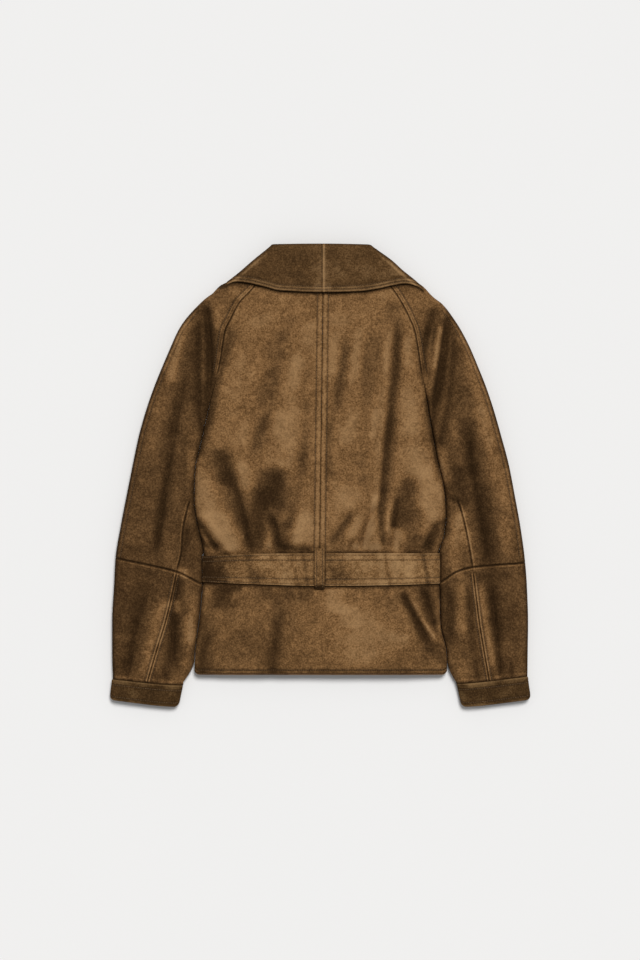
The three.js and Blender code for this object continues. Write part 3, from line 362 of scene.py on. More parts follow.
# Soft bands and patches of painted light and shade, in the same form, with a shade in the height's place
PAINTED_BANDS = (
    # The back, left of the centre seam
    (BACK, (
        (-124, 224, -132, 195, -146, 146, -0.8, 8, 9, 18), (-141, 164, -157, 100, -178, 18, -0.9, 5, 6, 20),
        (-80, 238, -82, 222, -84, 206, 0.35, 14, 12, 10), (-46, 236, -48, 212, -52, 188, -0.35, 13, 13, 14),
        (-68, 202, -74, 184, -80, 160, -0.3, 16, 16, 16), (-14, 226, -14, 204, -18, 184, 0.45, 13, 8, 12),
        (-32, 184, -36, 148, -40, 116, 0.65, 9, 9, 18), (-66, 164, -78, 124, -88, 92, -0.4, 9, 10, 18),
        (-74, 100, -84, 70, -98, 24, -0.55, 9, 10, 18), (-110, 210, -122, 150, -130, 90, 0.2, 18, 18, 40),
        (-118, 96, -124, 80, -132, 60, -0.15, 10, 10, 12), (-96, 90, -112, 60, -118, 30, 0.25, 12, 12, 20),
        (-18, 128, -22, 62, -30, -6, -0.4, 8, 8, 30), (-56, 100, -58, 74, -58, 46, 0.5, 11, 12, 18),
        (-48, 60, -46, 30, -44, 0, 0.2, 14, 12, 20), (-106, 26, -106, 12, -106, -2, 0.2, 7, 7, 10),
        (-152, 46, -141, 18, -128, -24, -1.1, 17, 9, 18), (-118, 24, -114, 0, -106, -30, 0.45, 6, 6, 12),
        (-36, 120, -38, 80, -42, 30, 0.3, 16, 16, 30), (-140, 22, -126, -24, -110, -88, -0.75, 10, 9, 24),
        (-116, -46, -106, -84, -98, -122, -0.5, 3, 8, 20), (-66, 26, -72, -14, -80, -56, -1.1, 17, 16, 26),
        (-84, -6, -92, -56, -98, -122, -0.95, 13, 15, 26), (-56, 12, -56, -20, -58, -62, -0.7, 13, 10, 20),
        (-46, -56, -50, -84, -58, -120, -0.55, 9, 9, 18), (-60, -24, -53, -56, -46, -92, -0.5, 13, 11, 22),
        (-76, -56, -66, -78, -57, -116, -0.8, 7, 6, 12), (-80, -90, -75, -102, -72, -118, 0.35, 6, 7, 9),
        (-20, -44, -31, -78, -44, -112, 0.55, 7, 9, 16), (-14, -50, -18, -84, -20, -108, 0.3, 13, 10, 16),
        (-180, 16, -174, -24, -160, -70, 0.5, 12, 14, 18),
        (-166, -48, -148, -82, -126, -116, 0.8, 12, 15, 13),
        (-146, -26, -138, -44, -130, -60, -0.2, 10, 10, 12),
        (-182, -58, -168, -82, -152, -112, -0.95, 6, 6, 9),
        (-180, -86, -173, -104, -166, -122, -0.9, 7, 6, 8),
        (-160, -92, -148, -104, -136, -122, -0.7, 9, 9, 8),
    )),
    # The back, right of the centre seam
    (BACK, (
        (32, 240, 32, 226, 32, 212, 0.25, 14, 12, 9), (20, 216, 20, 182, 14, 136, 0.45, 10, 9, 20),
        (60, 226, 52, 186, 46, 120, 0.5, 7, 7, 24), (39, 194, 30, 142, 20, 84, -0.55, 6, 6, 22),
        (18, 94, 12, 40, 12, -12, -0.45, 5, 6, 16), (54, 104, 44, 72, 36, 36, 0.35, 10, 9, 20),
        (60, 42, 62, 12, 66, -30, -0.35, 12, 10, 16), (70, 210, 67, 168, 62, 84, -0.25, 7, 8, 26),
        (80, 216, 85, 176, 88, 140, -0.35, 7, 6, 20), (102, 216, 97, 186, 92, 140, 0.4, 7, 6, 20),
        (82, 106, 78, 76, 74, 44, 0.65, 5, 5, 16), (112, 256, 106, 234, 108, 212, -0.5, 14, 14, 12),
        (113, 230, 111, 166, 100, 88, -0.75, 6, 7, 22), (103, 106, 95, 34, 90, -36, -0.95, 5, 6, 24),
        (92, -10, 87, -56, 95, -120, -1, 5, 6, 13), (124, 212, 123, 188, 126, 150, 0.35, 7, 8, 18),
        (126, 130, 130, 88, 128, 48, 0.45, 12, 12, 22), (112, 100, 110, 50, 106, 10, -0.1, 6, 6, 20),
        (126, 50, 136, 18, 142, -10, 0.45, 13, 15, 14), (136, 212, 144, 166, 152, 112, -0.55, 5, 6, 20),
        (150, 126, 158, 80, 168, 30, -0.7, 6, 6, 24), (165, 44, 170, 14, 177, -18, -0.8, 6, 6, 14),
        (20, 0, 26, -40, 24, -84, 0.25, 12, 14, 24), (46, -6, 42, -34, 40, -54, 0.3, 12, 12, 14),
        (82, -22, 74, -62, 60, -108, 0.95, 4, 5, 13), (48, -50, 30, -78, 12, -104, -0.55, 8, 8, 11),
        (56, -50, 50, -72, 42, -98, 0.55, 7, 8, 12), (104, -30, 97, -60, 99, -86, 0.35, 4, 3, 12),
        (112, -30, 106, -56, 104, -84, -0.6, 3, 5, 12), (126, 4, 120, -40, 114, -88, -0.8, 10, 12, 22),
        (142, -42, 138, -64, 128, -90, -0.55, 14, 14, 13), (106, -72, 110, -94, 114, -122, 0.75, 7, 8, 9),
        (150, 24, 156, -30, 158, -72, 0.55, 14, 17, 18), (138, -82, 136, -98, 130, -122, -0.8, 12, 17, 9),
        (188, -58, 172, -82, 154, -114, -1, 9, 8, 9),
    )),
    # The left sleeve
    (SLEEVE, (
        (-150, 258, -150, 232, -146, 204, 0.55, 10, 8, 14),
    )),
    (UPPER, (
        (-134, 254, -138, 238, -142, 220, 0.15, 6, 6, 8),
    )),
    (SLEEVE, (
        (-122, 276, -118, 262, -116, 250, 0.6, 16, 16, 8),
        (-170, 258, -165, 206, -156, 140, -0.7, 10, 9, 20),
        (-182, 220, -184, 160, -180, 90, -0.5, 12, 14, 26),
        (-168, 150, -172, 110, -180, 60, -0.45, 12, 12, 20),
        (-192, 232, -208, 182, -222, 124, 0.6, 8, 8, 16), (-228, 130, -240, 80, -252, 20, 0.3, 12, 12, 22),
        (-204, 120, -216, 62, -228, -4, -0.25, 9, 10, 20), (-186, 84, -186, 62, -190, 44, 0.3, 8, 8, 10),
        (-240, 40, -238, 26, -240, 10, 0.25, 10, 10, 8), (-188, 44, -184, 16, -186, -14, 0.55, 8, 8, 12),
        (-216, 12, -222, -24, -228, -70, -0.3, 12, 8, 16),
        (-250, 0, -258, -50, -264, -116, 0.15, 16, 14, 24), (-194, -44, -195, -62, -196, -76, 0.5, 4, 5, 8),
        (-192, -72, -196, -94, -200, -130, -0.55, 8, 6, 10),
        (-230, -40, -236, -80, -244, -120, -0.25, 8, 6, 20),
        (-214, -104, -216, -120, -222, -140, 0.3, 10, 12, 9),
        (-176, -100, -182, -124, -186, -150, 0.1, 8, 8, 10),
    )),
    # The right sleeve
    (SLEEVE, (
        (134, 274, 140, 256, 150, 232, 0.2, 12, 14, 12), (172, 246, 166, 230, 160, 214, -0.35, 8, 6, 9),
        (160, 222, 154, 200, 150, 176, -0.65, 7, 7, 12), (176, 222, 171, 192, 165, 150, 0.75, 3.5, 3.5, 12),
        (156, 190, 156, 174, 158, 150, 0.4, 5, 5, 10), (184, 240, 180, 180, 162, 94, -0.85, 7, 10, 16),
        (196, 200, 198, 160, 202, 90, -0.3, 12, 13, 22), (206, 210, 222, 150, 238, 84, 0.3, 9, 12, 22),
        (230, 110, 238, 70, 250, 24, 0.7, 10, 12, 20), (248, 40, 260, -4, 270, -60, 0.75, 11, 12, 22),
        (260, -52, 267, -88, 272, -124, 0.4, 9, 9, 14), (208, 132, 210, 112, 212, 88, -0.35, 10, 10, 12),
        (272, -40, 278, -80, 284, -124, 0.2, 13, 10, 16), (210, 90, 216, 40, 226, -10, -0.55, 12, 12, 20),
        (192, 84, 194, 66, 198, 46, 0.3, 8, 8, 10), (172, 50, 177, 14, 186, -14, 0.65, 6, 7, 12),
        (178, 90, 174, 60, 180, 30, -0.25, 8, 8, 14), (200, 22, 202, -12, 205, -52, -0.75, 12, 12, 18),
        (230, -2, 238, -60, 248, -132, -0.65, 9, 12, 16), (206, -50, 200, -68, 197, -86, 0.9, 9, 8, 8),
        (202, -76, 194, -104, 192, -140, 0.8, 11, 11, 11), (211, -72, 216, -98, 221, -128, 0.7, 4, 4, 12),
    )),
    (UPPER, (
        (150, 152, 152, 130, 156, 108, 0.5, 5, 5, 10), (172, 22, 176, 4, 180, -18, 0.5, 5, 5, 10),
    )),
    # The forearms
    (SLEEVE, (
        (-292, -150, -288, -200, -284, -240, -0.4, 10, 14, 14),
        (-262, -150, -270, -196, -276, -240, -0.45, 8, 8, 14),
        (-284, -230, -286, -262, -288, -300, -0.3, 14, 14, 14),
        (-222, -172, -240, -214, -256, -300, 0.55, 8, 9, 16),
        (-209, -180, -209, -190, -208, -204, 1.3, 5, 5, 5),
        (-222, -176, -226, -208, -238, -252, 0.7, 6, 6, 14),
        (-182, -164, -183, -204, -186, -252, 0.5, 5, 5, 14),
        (-218, -190, -214, -226, -226, -304, -0.65, 8, 11, 14),
        (-206, -148, -205, -166, -206, -184, -0.3, 6, 6, 8),
        (-192, -196, -191, -222, -196, -250, 0.75, 7, 7, 12),
        (-196, -262, -196, -282, -204, -304, 0.45, 8, 8, 10),
        (-184, -150, -190, -180, -194, -200, 0.15, 8, 8, 12),
        (183, -150, 184, -200, 186, -250, -0.45, 6, 5, 16),
        (203, -150, 203, -192, 206, -236, 0.55, 7, 6, 16),
        (214, -154, 215, -204, 220, -262, -0.4, 4, 4, 16),
        (226, -150, 236, -208, 252, -292, 0.65, 7, 8, 16),
        (248, -150, 252, -196, 260, -252, -0.5, 9, 10, 20),
        (278, -170, 280, -210, 282, -250, -0.15, 12, 12, 16),
        (202, -262, 206, -282, 208, -304, 0.5, 10, 10, 9),
        (262, -262, 268, -276, 274, -300, -0.3, 10, 10, 8),
        (-200, -131, -197, -142, -192, -153, 0.95, 8, 6, 7),
        (196, -130, 200, -142, 204, -154, 0.8, 8, 7, 7), (220, -124, 223, -132, 226, -142, 0.5, 5, 5, 7),
        (236, -116, 243, -128, 250, -142, -0.5, 12, 12, 8),
        (-268, -132, -256, -141, -246, -152, -0.4, 14, 12, 7),
    )),
    # The skirt
    (BACK, (
        (40, -170, 50, -220, 50, -284, 0.25, 50, 45, 30),
        (-120, -180, -120, -230, -115, -288, -0.2, 40, 40, 30),
        (170, -176, 175, -200, 178, -228, 0.6, 4, 4, 12),
        (-178, -190, -174, -236, -170, -296, -0.65, 7, 14, 18),
        (-138, -148, -142, -172, -152, -200, -0.8, 15, 19, 12),
        (-108, -190, -108, -214, -104, -234, 0.3, 22, 16, 14),
        (-140, -206, -138, -224, -140, -244, 0.2, 12, 12, 12),
        (-104, -228, -106, -242, -106, -256, -0.2, 9, 9, 8),
        (-62, -172, -63, -224, -72, -304, -0.5, 9, 9, 20), (12, -156, 16, -176, 28, -206, 0.75, 12, 14, 10),
        (40, -186, 42, -206, 44, -226, 0.45, 12, 12, 10), (70, -196, 60, -240, 56, -290, 0.4, 24, 30, 24),
        (104, -172, 102, -198, 100, -216, -0.35, 8, 10, 12),
        (116, -168, 138, -212, 162, -264, -0.95, 6, 6, 12),
        (150, -150, 157, -176, 166, -224, -0.95, 12, 9, 14),
        (128, -172, 148, -208, 172, -246, 0.6, 4, 4, 10), (164, -238, 172, -256, 182, -280, -0.6, 9, 9, 9),
        (148, -246, 150, -262, 152, -284, -0.25, 10, 10, 10),
    )),
)
# The same painted light and shade, in bands that run across the cloth
PAINTED_BANDS_ACROSS = (
    (BACK, (
        (-60, -106, -34, -107, -10, -108, -0.9, 2, 6, 8), (-152, -165, -132, -165, -110, -165, -1, 4, 3, 8),
    )),
    (SLEEVE, (
        (222, -147, 246, -145, 278, -143, -0.5, 7, 5, 10),
    )),
    (BACK, (
        (-88, 14, -68, 16, -48, 14, 0.55, 5, 6, 10), (40, -104, 74, -105, 104, -106, 0.8, 5, 5, 10),
        (-110, -170, -60, -175, -4, -174, -0.45, 9, 10, 20),
        (76, -234, 104, -236, 136, -238, 0.5, 9, 9, 14), (144, -76, 158, -70, 174, -60, 0.3, 8, 8, 8),
    )),
)

# How much darker the sleeves are drawn at each y, left and right, and the skirt
SLEEVE_TONES = (
    (250, -0.35, -0.2), (120, -0.45, -0.35), (0, -0.55, -0.45), (-140, -0.6, -0.55), (-290, -0.5, -0.5),
)
SKIRT_TONE = -0.15

# How strongly the painted bands and the folds' painted shade show: a fold narrower than SHARP_WIDTH is
# painted more strongly, one higher than SHADE_HEIGHT hardly more, and the painted shade is a little narrower
# than the fold
PAINTED_BAND_STRENGTH = 0.78
PAINTED_BAND_WIDTHS = (0.65, 1.15)
FOLD_SHADE = 0.26
SHARP_WIDTH = 14.0
SHADE_HEIGHT = 2.6
SHADE_WIDTH = 0.85

# Creases that run across the cloth
CROSS_CREASES = (
    (SLEEVE, (
        (180, -30, 193, -35, 208, -40, -1.8, 5, 2.6, 8), (178, -22, 192, -26, 205, -30, 0.9, 3, 3, 8),
    )),
    (BACK, (
        (168, -242, 176, -249, 184, -257, -1.4, 2.4, 3, 5),
    )),
    (SLEEVE, (
        (-292, -98, -276, -106, -258, -110, -1, 3, 3, 8), (262, -100, 276, -108, 292, -110, -1, 3, 3, 8),
    )),
)

# Folds of the cloth that lies on the floor, which can only rise off it
FLOOR_FOLDS = (
    (FRONT, (
        (-132, -38, -120, -76, -112, -112, 2.4, 3, 7, 16), (-78, -52, -68, -80, -62, -112, 2, 3, 6, 14),
        (-46, 10, -52, -40, -58, -100, 1.2, 9, 9, 26), (74, -42, 66, -78, 60, -112, 2.2, 6, 3, 14),
        (122, -30, 114, -72, 108, -112, 2.4, 7, 3, 16), (-110, 190, -124, 120, -136, 40, 2, 6, 10, 36),
        (106, 186, 120, 116, 130, 36, 2, 10, 6, 36), (-70, 96, -82, 40, -86, -10, 1.1, 9, 9, 30),
        (66, 90, 80, 34, 84, -14, 1.1, 9, 9, 30), (-148, -176, -140, -216, -132, -262, 2, 4, 7, 18),
        (-84, -172, -80, -206, -82, -250, 1.4, 6, 6, 18), (96, -172, 104, -212, 116, -258, 1.8, 7, 4, 18),
        (144, -176, 150, -210, 152, -250, 1.4, 5, 6, 18),
    )),
    (UNDER_SLEEVE, (
        (-180, 120, -200, 30, -222, -60, 2.2, 6, 9, 30), (182, 118, 202, 28, 224, -62, 2.2, 9, 6, 30),
        (-240, -146, -250, -206, -262, -284, 2, 5, 7, 20),
        (-212, -168, -216, -214, -222, -276, 1.6, 4, 6, 18), (236, -146, 244, -206, 256, -284, 2, 7, 5, 20),
        (208, -166, 210, -214, 216, -276, 1.6, 6, 4, 18),
    )),
)
FLOOR_CROSS_CREASES = (
    (UNDER_SLEEVE, (
        (-256, -64, -226, -78, -192, -84, 2, 3, 6, 18), (-262, -96, -232, -106, -194, -108, 1.8, 3, 6, 18),
        (192, -80, 222, -74, 254, -60, 2, 3, 6, 18), (194, -106, 226, -102, 258, -92, 1.8, 3, 6, 18),
    )),
)


def mix(start: Array, end: Array, part: Array) -> Array:
    """The value that lies at a part of the way from start to end."""
    return start + (end - start) * part


def ease(value: Array, start: float, end: float) -> Array:
    """A smooth step from 0 at start to 1 at end: 3p² - 2p³ of the part p."""
    part = np.clip((value - start) / (end - start), 0.0, 1.0)
    return part * part * (3.0 - 2.0 * part)


def rolled(distance: Array, radius: Array) -> Array:
    """A quarter round: sqrt(1 - (1 - d/r)²), from 0 at the edge to 1 at the radius."""
    return np.sqrt(np.maximum(1.0 - (1.0 - np.clip(distance / radius, 0.0, 1.0)) ** 2, 0.0))


def span(value: Array, edges: Span) -> Array:
    """1 between two soft edges: up from the first place to the second, down from the third to the fourth."""
    return ease(value, edges[0], edges[1]) * (1.0 - ease(value, edges[2], edges[3]))


def bell(distance: Array, width: Array) -> Array:
    """A soft bump: exp(-(d/w)²)."""
    return np.exp(-((distance / width) ** 2))


def bells(distance: Array, shapes: Bells) -> Array:
    """Soft bumps added together, each with its height, its middle's distance and its half width."""
    return sum(height * bell(distance - middle, width) for height, middle, width in shapes)


def wave(distance: Array, length: float) -> Array:
    """A padded band from 0 to its length: a sine squared."""
    return np.sin(np.pi * np.clip(distance / length, 0.0, 1.0)) ** 2


def stretch(line: Edge, along: Array) -> Array:
    """How much longer a leaning line is than its run: sqrt(1 + slope²), with the slope over 2 mm."""
    return np.hypot(1.0, (line(along + 1.0) - line(along - 1.0)) / 2.0)


def level_at(height: float) -> Edge:
    """A straight line at one x or y."""
    return lambda along: height + 0.0 * along


@dataclass(frozen=True)
class Curve:
    """A smooth line through measured points that never overshoots them.

    Between two points it is the cubic that has each point's slope. A point's slope is the harmonic mean of
    the rises before and after it, or nothing where they differ in sign.
    """

    at: Array
    value: Array

    @classmethod
    def through(cls, rows: Iterable[Sequence[float]], column: int = 1) -> "Curve":
        """The curve of one column of a table against its first column.

        Args:
            rows: the table's rows.
            column: the column that the curve follows.

        Returns:
            The curve, whichever way the rows are sorted.
        """
        pairs = sorted((float(row[0]), float(row[column])) for row in rows)
        return cls(np.array([pair[0] for pair in pairs]), np.array([pair[1] for pair in pairs]))

    def slopes(self) -> Array:
        """The slope at each point."""
        rise = np.diff(self.value) / np.diff(self.at)
        before, after = rise[:-1], rise[1:]
        agree = before * after > 0
        inner = np.where(agree, 2 * before * after / np.where(agree, before + after, 1.0), 0.0)
        return np.concatenate([rise[:1], inner, rise[-1:]])

    def __call__(self, wanted: Array) -> Array:
        """The curve's value at each wanted place, level beyond its ends."""
        slope = self.slopes()
        place = np.clip(wanted, self.at[0], self.at[-1])
        i = np.clip(np.searchsorted(self.at, place, side="right") - 1, 0, len(self.at) - 2)
        step = self.at[i + 1] - self.at[i]
        u = (place - self.at[i]) / step
        level = self.value[i] * (2 * u**3 - 3 * u**2 + 1) + self.value[i + 1] * (3 * u**2 - 2 * u**3)
        return level + step * (slope[i] * (u**3 - 2 * u**2 + u) + slope[i + 1] * (u**3 - u**2))


@dataclass(frozen=True)
class Side:
    """The lines of one side of the jacket; sign is -1 on the wearer's left and +1 on the right."""

    name: str
    sign: int
    torso: Curve
    below_armpit: Curve
    elbow: Curve
    outer: Curve
    hind: Curve
    front: Curve
    lapel: Curve
    cuff_outer: Curve
    cuff_inner: Curve
    collar_end: float

    @classmethod
    def drawn(cls, name: str, sign: int, column: int, elbow: Iterable[Sequence[float]],
              collar_end: float) -> "Side":
        """Takes one side's column of each outline table.

        Args:
            name: the side's name, as the pieces carry it.
            sign: -1 for the left side and +1 for the right.
            column: the side's column in the tables.
            elbow: the elbow seam's points.
            collar_end: the x at which the collar's edge meets its outline.

        Returns:
            The side with its curves.
        """
        tables = (TORSO_EDGE, SLEEVE_INNER, None, SLEEVE_OUTLINE, HIND_SEAM, FRONT_EDGE, LAPEL_EDGE,
                  CUFF_OUTER, CUFF_INNER)
        curves = [Curve.through(elbow) if rows is None else Curve.through(rows, column) for rows in tables]
        return cls(name, sign, *curves, collar_end)

    def inner(self, y: Array) -> Array:
        """The sleeve's edge beside the torso: the raglan seam, then the inside of the arm."""
        return np.where(y >= ARMPIT_Y, self.torso(y) + self.sign * SEAM_GAP, self.below_armpit(y))

    def hind_shows(self, y: Array) -> Array:
        """Where the hind-arm seam is in view beside the torso."""
        return (y < SLANT_START_Y) & (self.sign * (self.hind(y) - self.inner(y)) > 0)


LEFT = Side.drawn("left", -1, 1, ELBOW_LEFT, -136.0)
RIGHT = Side.drawn("right", 1, 2, ELBOW_RIGHT, 149.0)
SIDES = (LEFT, RIGHT)

loft_middle = Curve.through(LOFT, 1)
loft_sleeve = Curve.through(LOFT, 2)
cuff_top = Curve.through(CUFF_TOP)
cuff_foot = Curve.through(CUFF_FOOT)
collar_top = Curve.through(COLLAR_TOP)
collar_edge = Curve.through(COLLAR_EDGE)
belt_top = Curve.through(BELT_EDGES, 1)
belt_foot = Curve.through(BELT_EDGES, 2)


def centre_back(y: Array) -> Array:
    """The centre back seam, which leans a little across the jacket."""
    return 3.6 + (y - 264.0) * 0.0129


COLLAR_SEAM_X = centre_back(300.0)


@dataclass(frozen=True)
class Fold:
    """A soft trough or ridge along a line through three points.

    Its height, negative for a trough, is a bell across the line with its own half width before it, towards
    -X or -Y, and after it. It fades at both ends.
    """

    place: Place
    line: Curve
    run: Run
    height: float
    before: float
    after: float
    fade: float

    @classmethod
    def laid(cls, table: FoldTable, run: Run = Run.DOWN) -> list["Fold"]:
        """Makes the folds of a table, in its order.

        Args:
            table: groups of rows, each group with the cloth that its folds lie in.
            run: whether the folds run down the jacket or across it.

        Returns:
            The folds.
        """
        first, then = (1, 0) if run is Run.DOWN else (0, 1)
        return [cls(place, Curve.through([(row[i + first], row[i + then]) for i in (0, 2, 4)]), run, *row[6:])
                for place, rows in table for row in rows]

    def across(self, x: Array, y: Array) -> tuple[Array, Array]:
        """How much of the fold there is along its line, and the distance across it in its widths."""
        along, across = (y, x) if self.run is Run.DOWN else (x, y)
        low, high = self.line.at[0], self.line.at[-1]
        faded = span(along, (low, low + self.fade, high - self.fade, high))
        distance = across - self.line(along)
        return faded, distance / np.where(distance < 0, self.before, self.after)

    def rise(self, x: Array, y: Array) -> Array:
        """The height that the fold adds: a bell across its line."""
        faded, distance = self.across(x, y)
        return self.height * faded * bell(distance, 1.0)

    def shade(self, x: Array, y: Array) -> Array:
        """The fold's painted shade, darker in a trough and lighter on a ridge, a little narrower than the
        fold, and stronger in a sharp crease.
        """
        faded, distance = self.across(x, y)
        sharpness = max(1.0, SHARP_WIDTH / (self.before + self.after))
        strength = FOLD_SHADE * sharpness * math.tanh(self.height / SHADE_HEIGHT)
        return strength * faded * bell(distance, SHADE_WIDTH)

    def painted_light_and_shade(self, x: Array, y: Array) -> Array:
        """The painted light and shade that a band adds, lighter where its shade is above 0 and darker below,
        narrower at its faded ends.
        """
        faded, distance = self.across(x, y)
        return PAINTED_BAND_STRENGTH * self.height * faded * bell(distance, mix(*PAINTED_BAND_WIDTHS, faded))


@dataclass(frozen=True)
class Unevenness:
    """Soft, seeded unevenness: random levels on a square lattice, eased from one to the next."""

    seed: int
    cell: float
    height: float
    lattice: int = 97

    def __call__(self, x: Array, y: Array) -> Array:
        """The unevenness at each point."""
        level = np.random.default_rng(self.seed).uniform(-1.0, 1.0, (self.lattice, self.lattice))
        u, v = x / self.cell + 40.37, y / self.cell + 40.71
        i, j = np.floor(u).astype(int), np.floor(v).astype(int)
        p, q = ease(u - i, 0.0, 1.0), ease(v - j, 0.0, 1.0)
        i, j, n = i % self.lattice, j % self.lattice, self.lattice
        near = mix(level[i, j], level[(i + 1) % n, j], p)
        far = mix(level[i, (j + 1) % n], level[(i + 1) % n, (j + 1) % n], p)
        return self.height * mix(near, far, q)


@dataclass(frozen=True)
class Seam:
    """A sewn line: a narrow groove, padded bands beside it, and dents under its rows of thread.

    Every shape in it is a function of the signed distance to the line, positive on the line's far side.
    """

    places: tuple[Place, ...]
    line: Edge
    run: Run
    start: float
    end: float
    sign: int = 1
    groove: float = 0.9
    groove_width: float = 1.1
    bands: tuple[tuple[float, float, float], ...] = ()
    rows: tuple[float, ...] = ()
    dent: float = 0.5
    # How dark the painted shade along the groove is
    groove_shade: float = 1.0
    fade: float = 5.0
    dent_width: float = 0.9
    band_shade: float = 0.55
    row_shade: float = 0.75

    def distance(self, x: Array, y: Array) -> Array:
        """The signed distance from each point to the line, square to it."""
        along, across = (y, x) if self.run is Run.DOWN else (x, y)
        return self.sign * (across - self.line(along)) / stretch(self.line, along)

    def extent(self, x: Array, y: Array) -> Array:
        """1 along the line's length, fading past its ends."""
        along = y if self.run is Run.DOWN else x
        return span(along, (self.start - self.fade, self.start, self.end, self.end + self.fade))

    def padding(self, d: Array) -> Array:
        """The height of the padded bands: each a sine squared between its two edges."""
        return np.zeros_like(d) + sum(height * wave(d - low, high - low) for low, high, height in self.bands)

    def relief(self, x: Array, y: Array) -> Array:
        """The height that the seam adds."""
        d = self.distance(x, y)
        dents = sum(self.dent * bell(d - row, self.dent_width) for row in self.rows)
        return (self.padding(d) - self.groove * bell(d, self.groove_width) - dents) * self.extent(x, y)

    def painted_shade_and_highlight(self, x: Array, y: Array) -> Array:
        """The seam's painted shade and highlight: painted shade in its groove and rows, painted highlight on
        its padded bands.
        """
        d = self.distance(x, y)
        rows = sum(self.row_shade * bell(d - row, 0.95) for row in self.rows)
        groove = self.groove_shade * bell(d, 1.35 * self.groove_width)
        return (self.band_shade * self.padding(d) - groove - rows) * self.extent(x, y)

    def path(self, offset: float, step: float = 1.0) -> tuple[Array, Array]:
        """The x and y of a line that runs beside the seam.

        Args:
            offset: the signed distance from the seam.
            step: the distance between its points.

        Returns:
            The points' x and y.
        """
        along = np.arange(self.start, self.end, step)
        across = self.line(along) + self.sign * offset * stretch(self.line, along)
        return (across, along) if self.run is Run.DOWN else (along, across)


def arm_seams(side: Side) -> list[Seam]:
    """The seams of one sleeve: raglan, overarm, hind arm, elbow and the cuff's upper edge, and two lines of
    painted shade.

    Args:
        side: the side of the jacket.

    Returns:
        The seams, with distances that grow away from the torso, or upwards where they run across.
    """
    sign = side.sign
    low, high = sorted((float(side.elbow.at[0]), float(side.elbow.at[-1])))
    return [
        Seam((BACK, SLEEVE), side.torso, Run.DOWN, 150, 296, sign, 1.0, 0.75,
             bands=((0.7, 3.5, 0.8), (3.9, 6.8, 0.7), (-4.6, -0.8, 0.2)), rows=(7.4,), groove_shade=0.7),
        Seam((SLEEVE,), side.outer, Run.DOWN, -118, 236, -sign, 0.0, 1.0, bands=((2.6, 7.2, 0.5),),
             rows=(7.8,), groove_shade=0.0),
        Seam((SLEEVE,), side.hind, Run.DOWN, -130, -40, sign, 0.9, 1.0,
             bands=((0.6, 4.6, 0.9), (-4.0, -0.6, 0.3))),
        Seam((SLEEVE,), side.hind, Run.DOWN, -298, -146, sign, 0.5, 0.7,
             bands=((0.3, 3.6, 1.2), (-3.6, -0.3, 1.2)), rows=(4.3, -4.3), groove_shade=0.55),
        Seam((SLEEVE, UNDER_SLEEVE), side.elbow, Run.ACROSS, low, high, 1, 1.4, 1.1,
             bands=((-5.0, -0.8, 0.9),)),
        Seam((SLEEVE, UNDER_SLEEVE), cuff_top, Run.ACROSS, min(sign * 194, sign * 302),
             max(sign * 194, sign * 302), 1, 0.9, 1.3, bands=((1.6, 8.0, 0.5),)),
        # The last two are no seams: lines of painted shade where the torso meets the sleeve and along the
        # sleeve's rolled outer edge
        Seam((BACK, SLEEVE), side.torso, Run.DOWN, -262, 140, sign, 0.0, 2.3, bands=((-9.0, -3.0, 0.15),),
             groove_shade=0.3),
        Seam((SLEEVE,), side.outer, Run.DOWN, -298, 240, -sign, 0.0, 2.3, groove_shade=1.0),
    ]


# The torso's centre back seam, with its two rows
CENTRE_BACK = Seam((BACK,), centre_back, Run.DOWN, -112, 268, 1, 0.8, 0.6,
                   bands=((0.4, 7.2, 0.45), (-7.2, -0.4, 0.35)), rows=(8.0, -8.0), groove_shade=0.6)


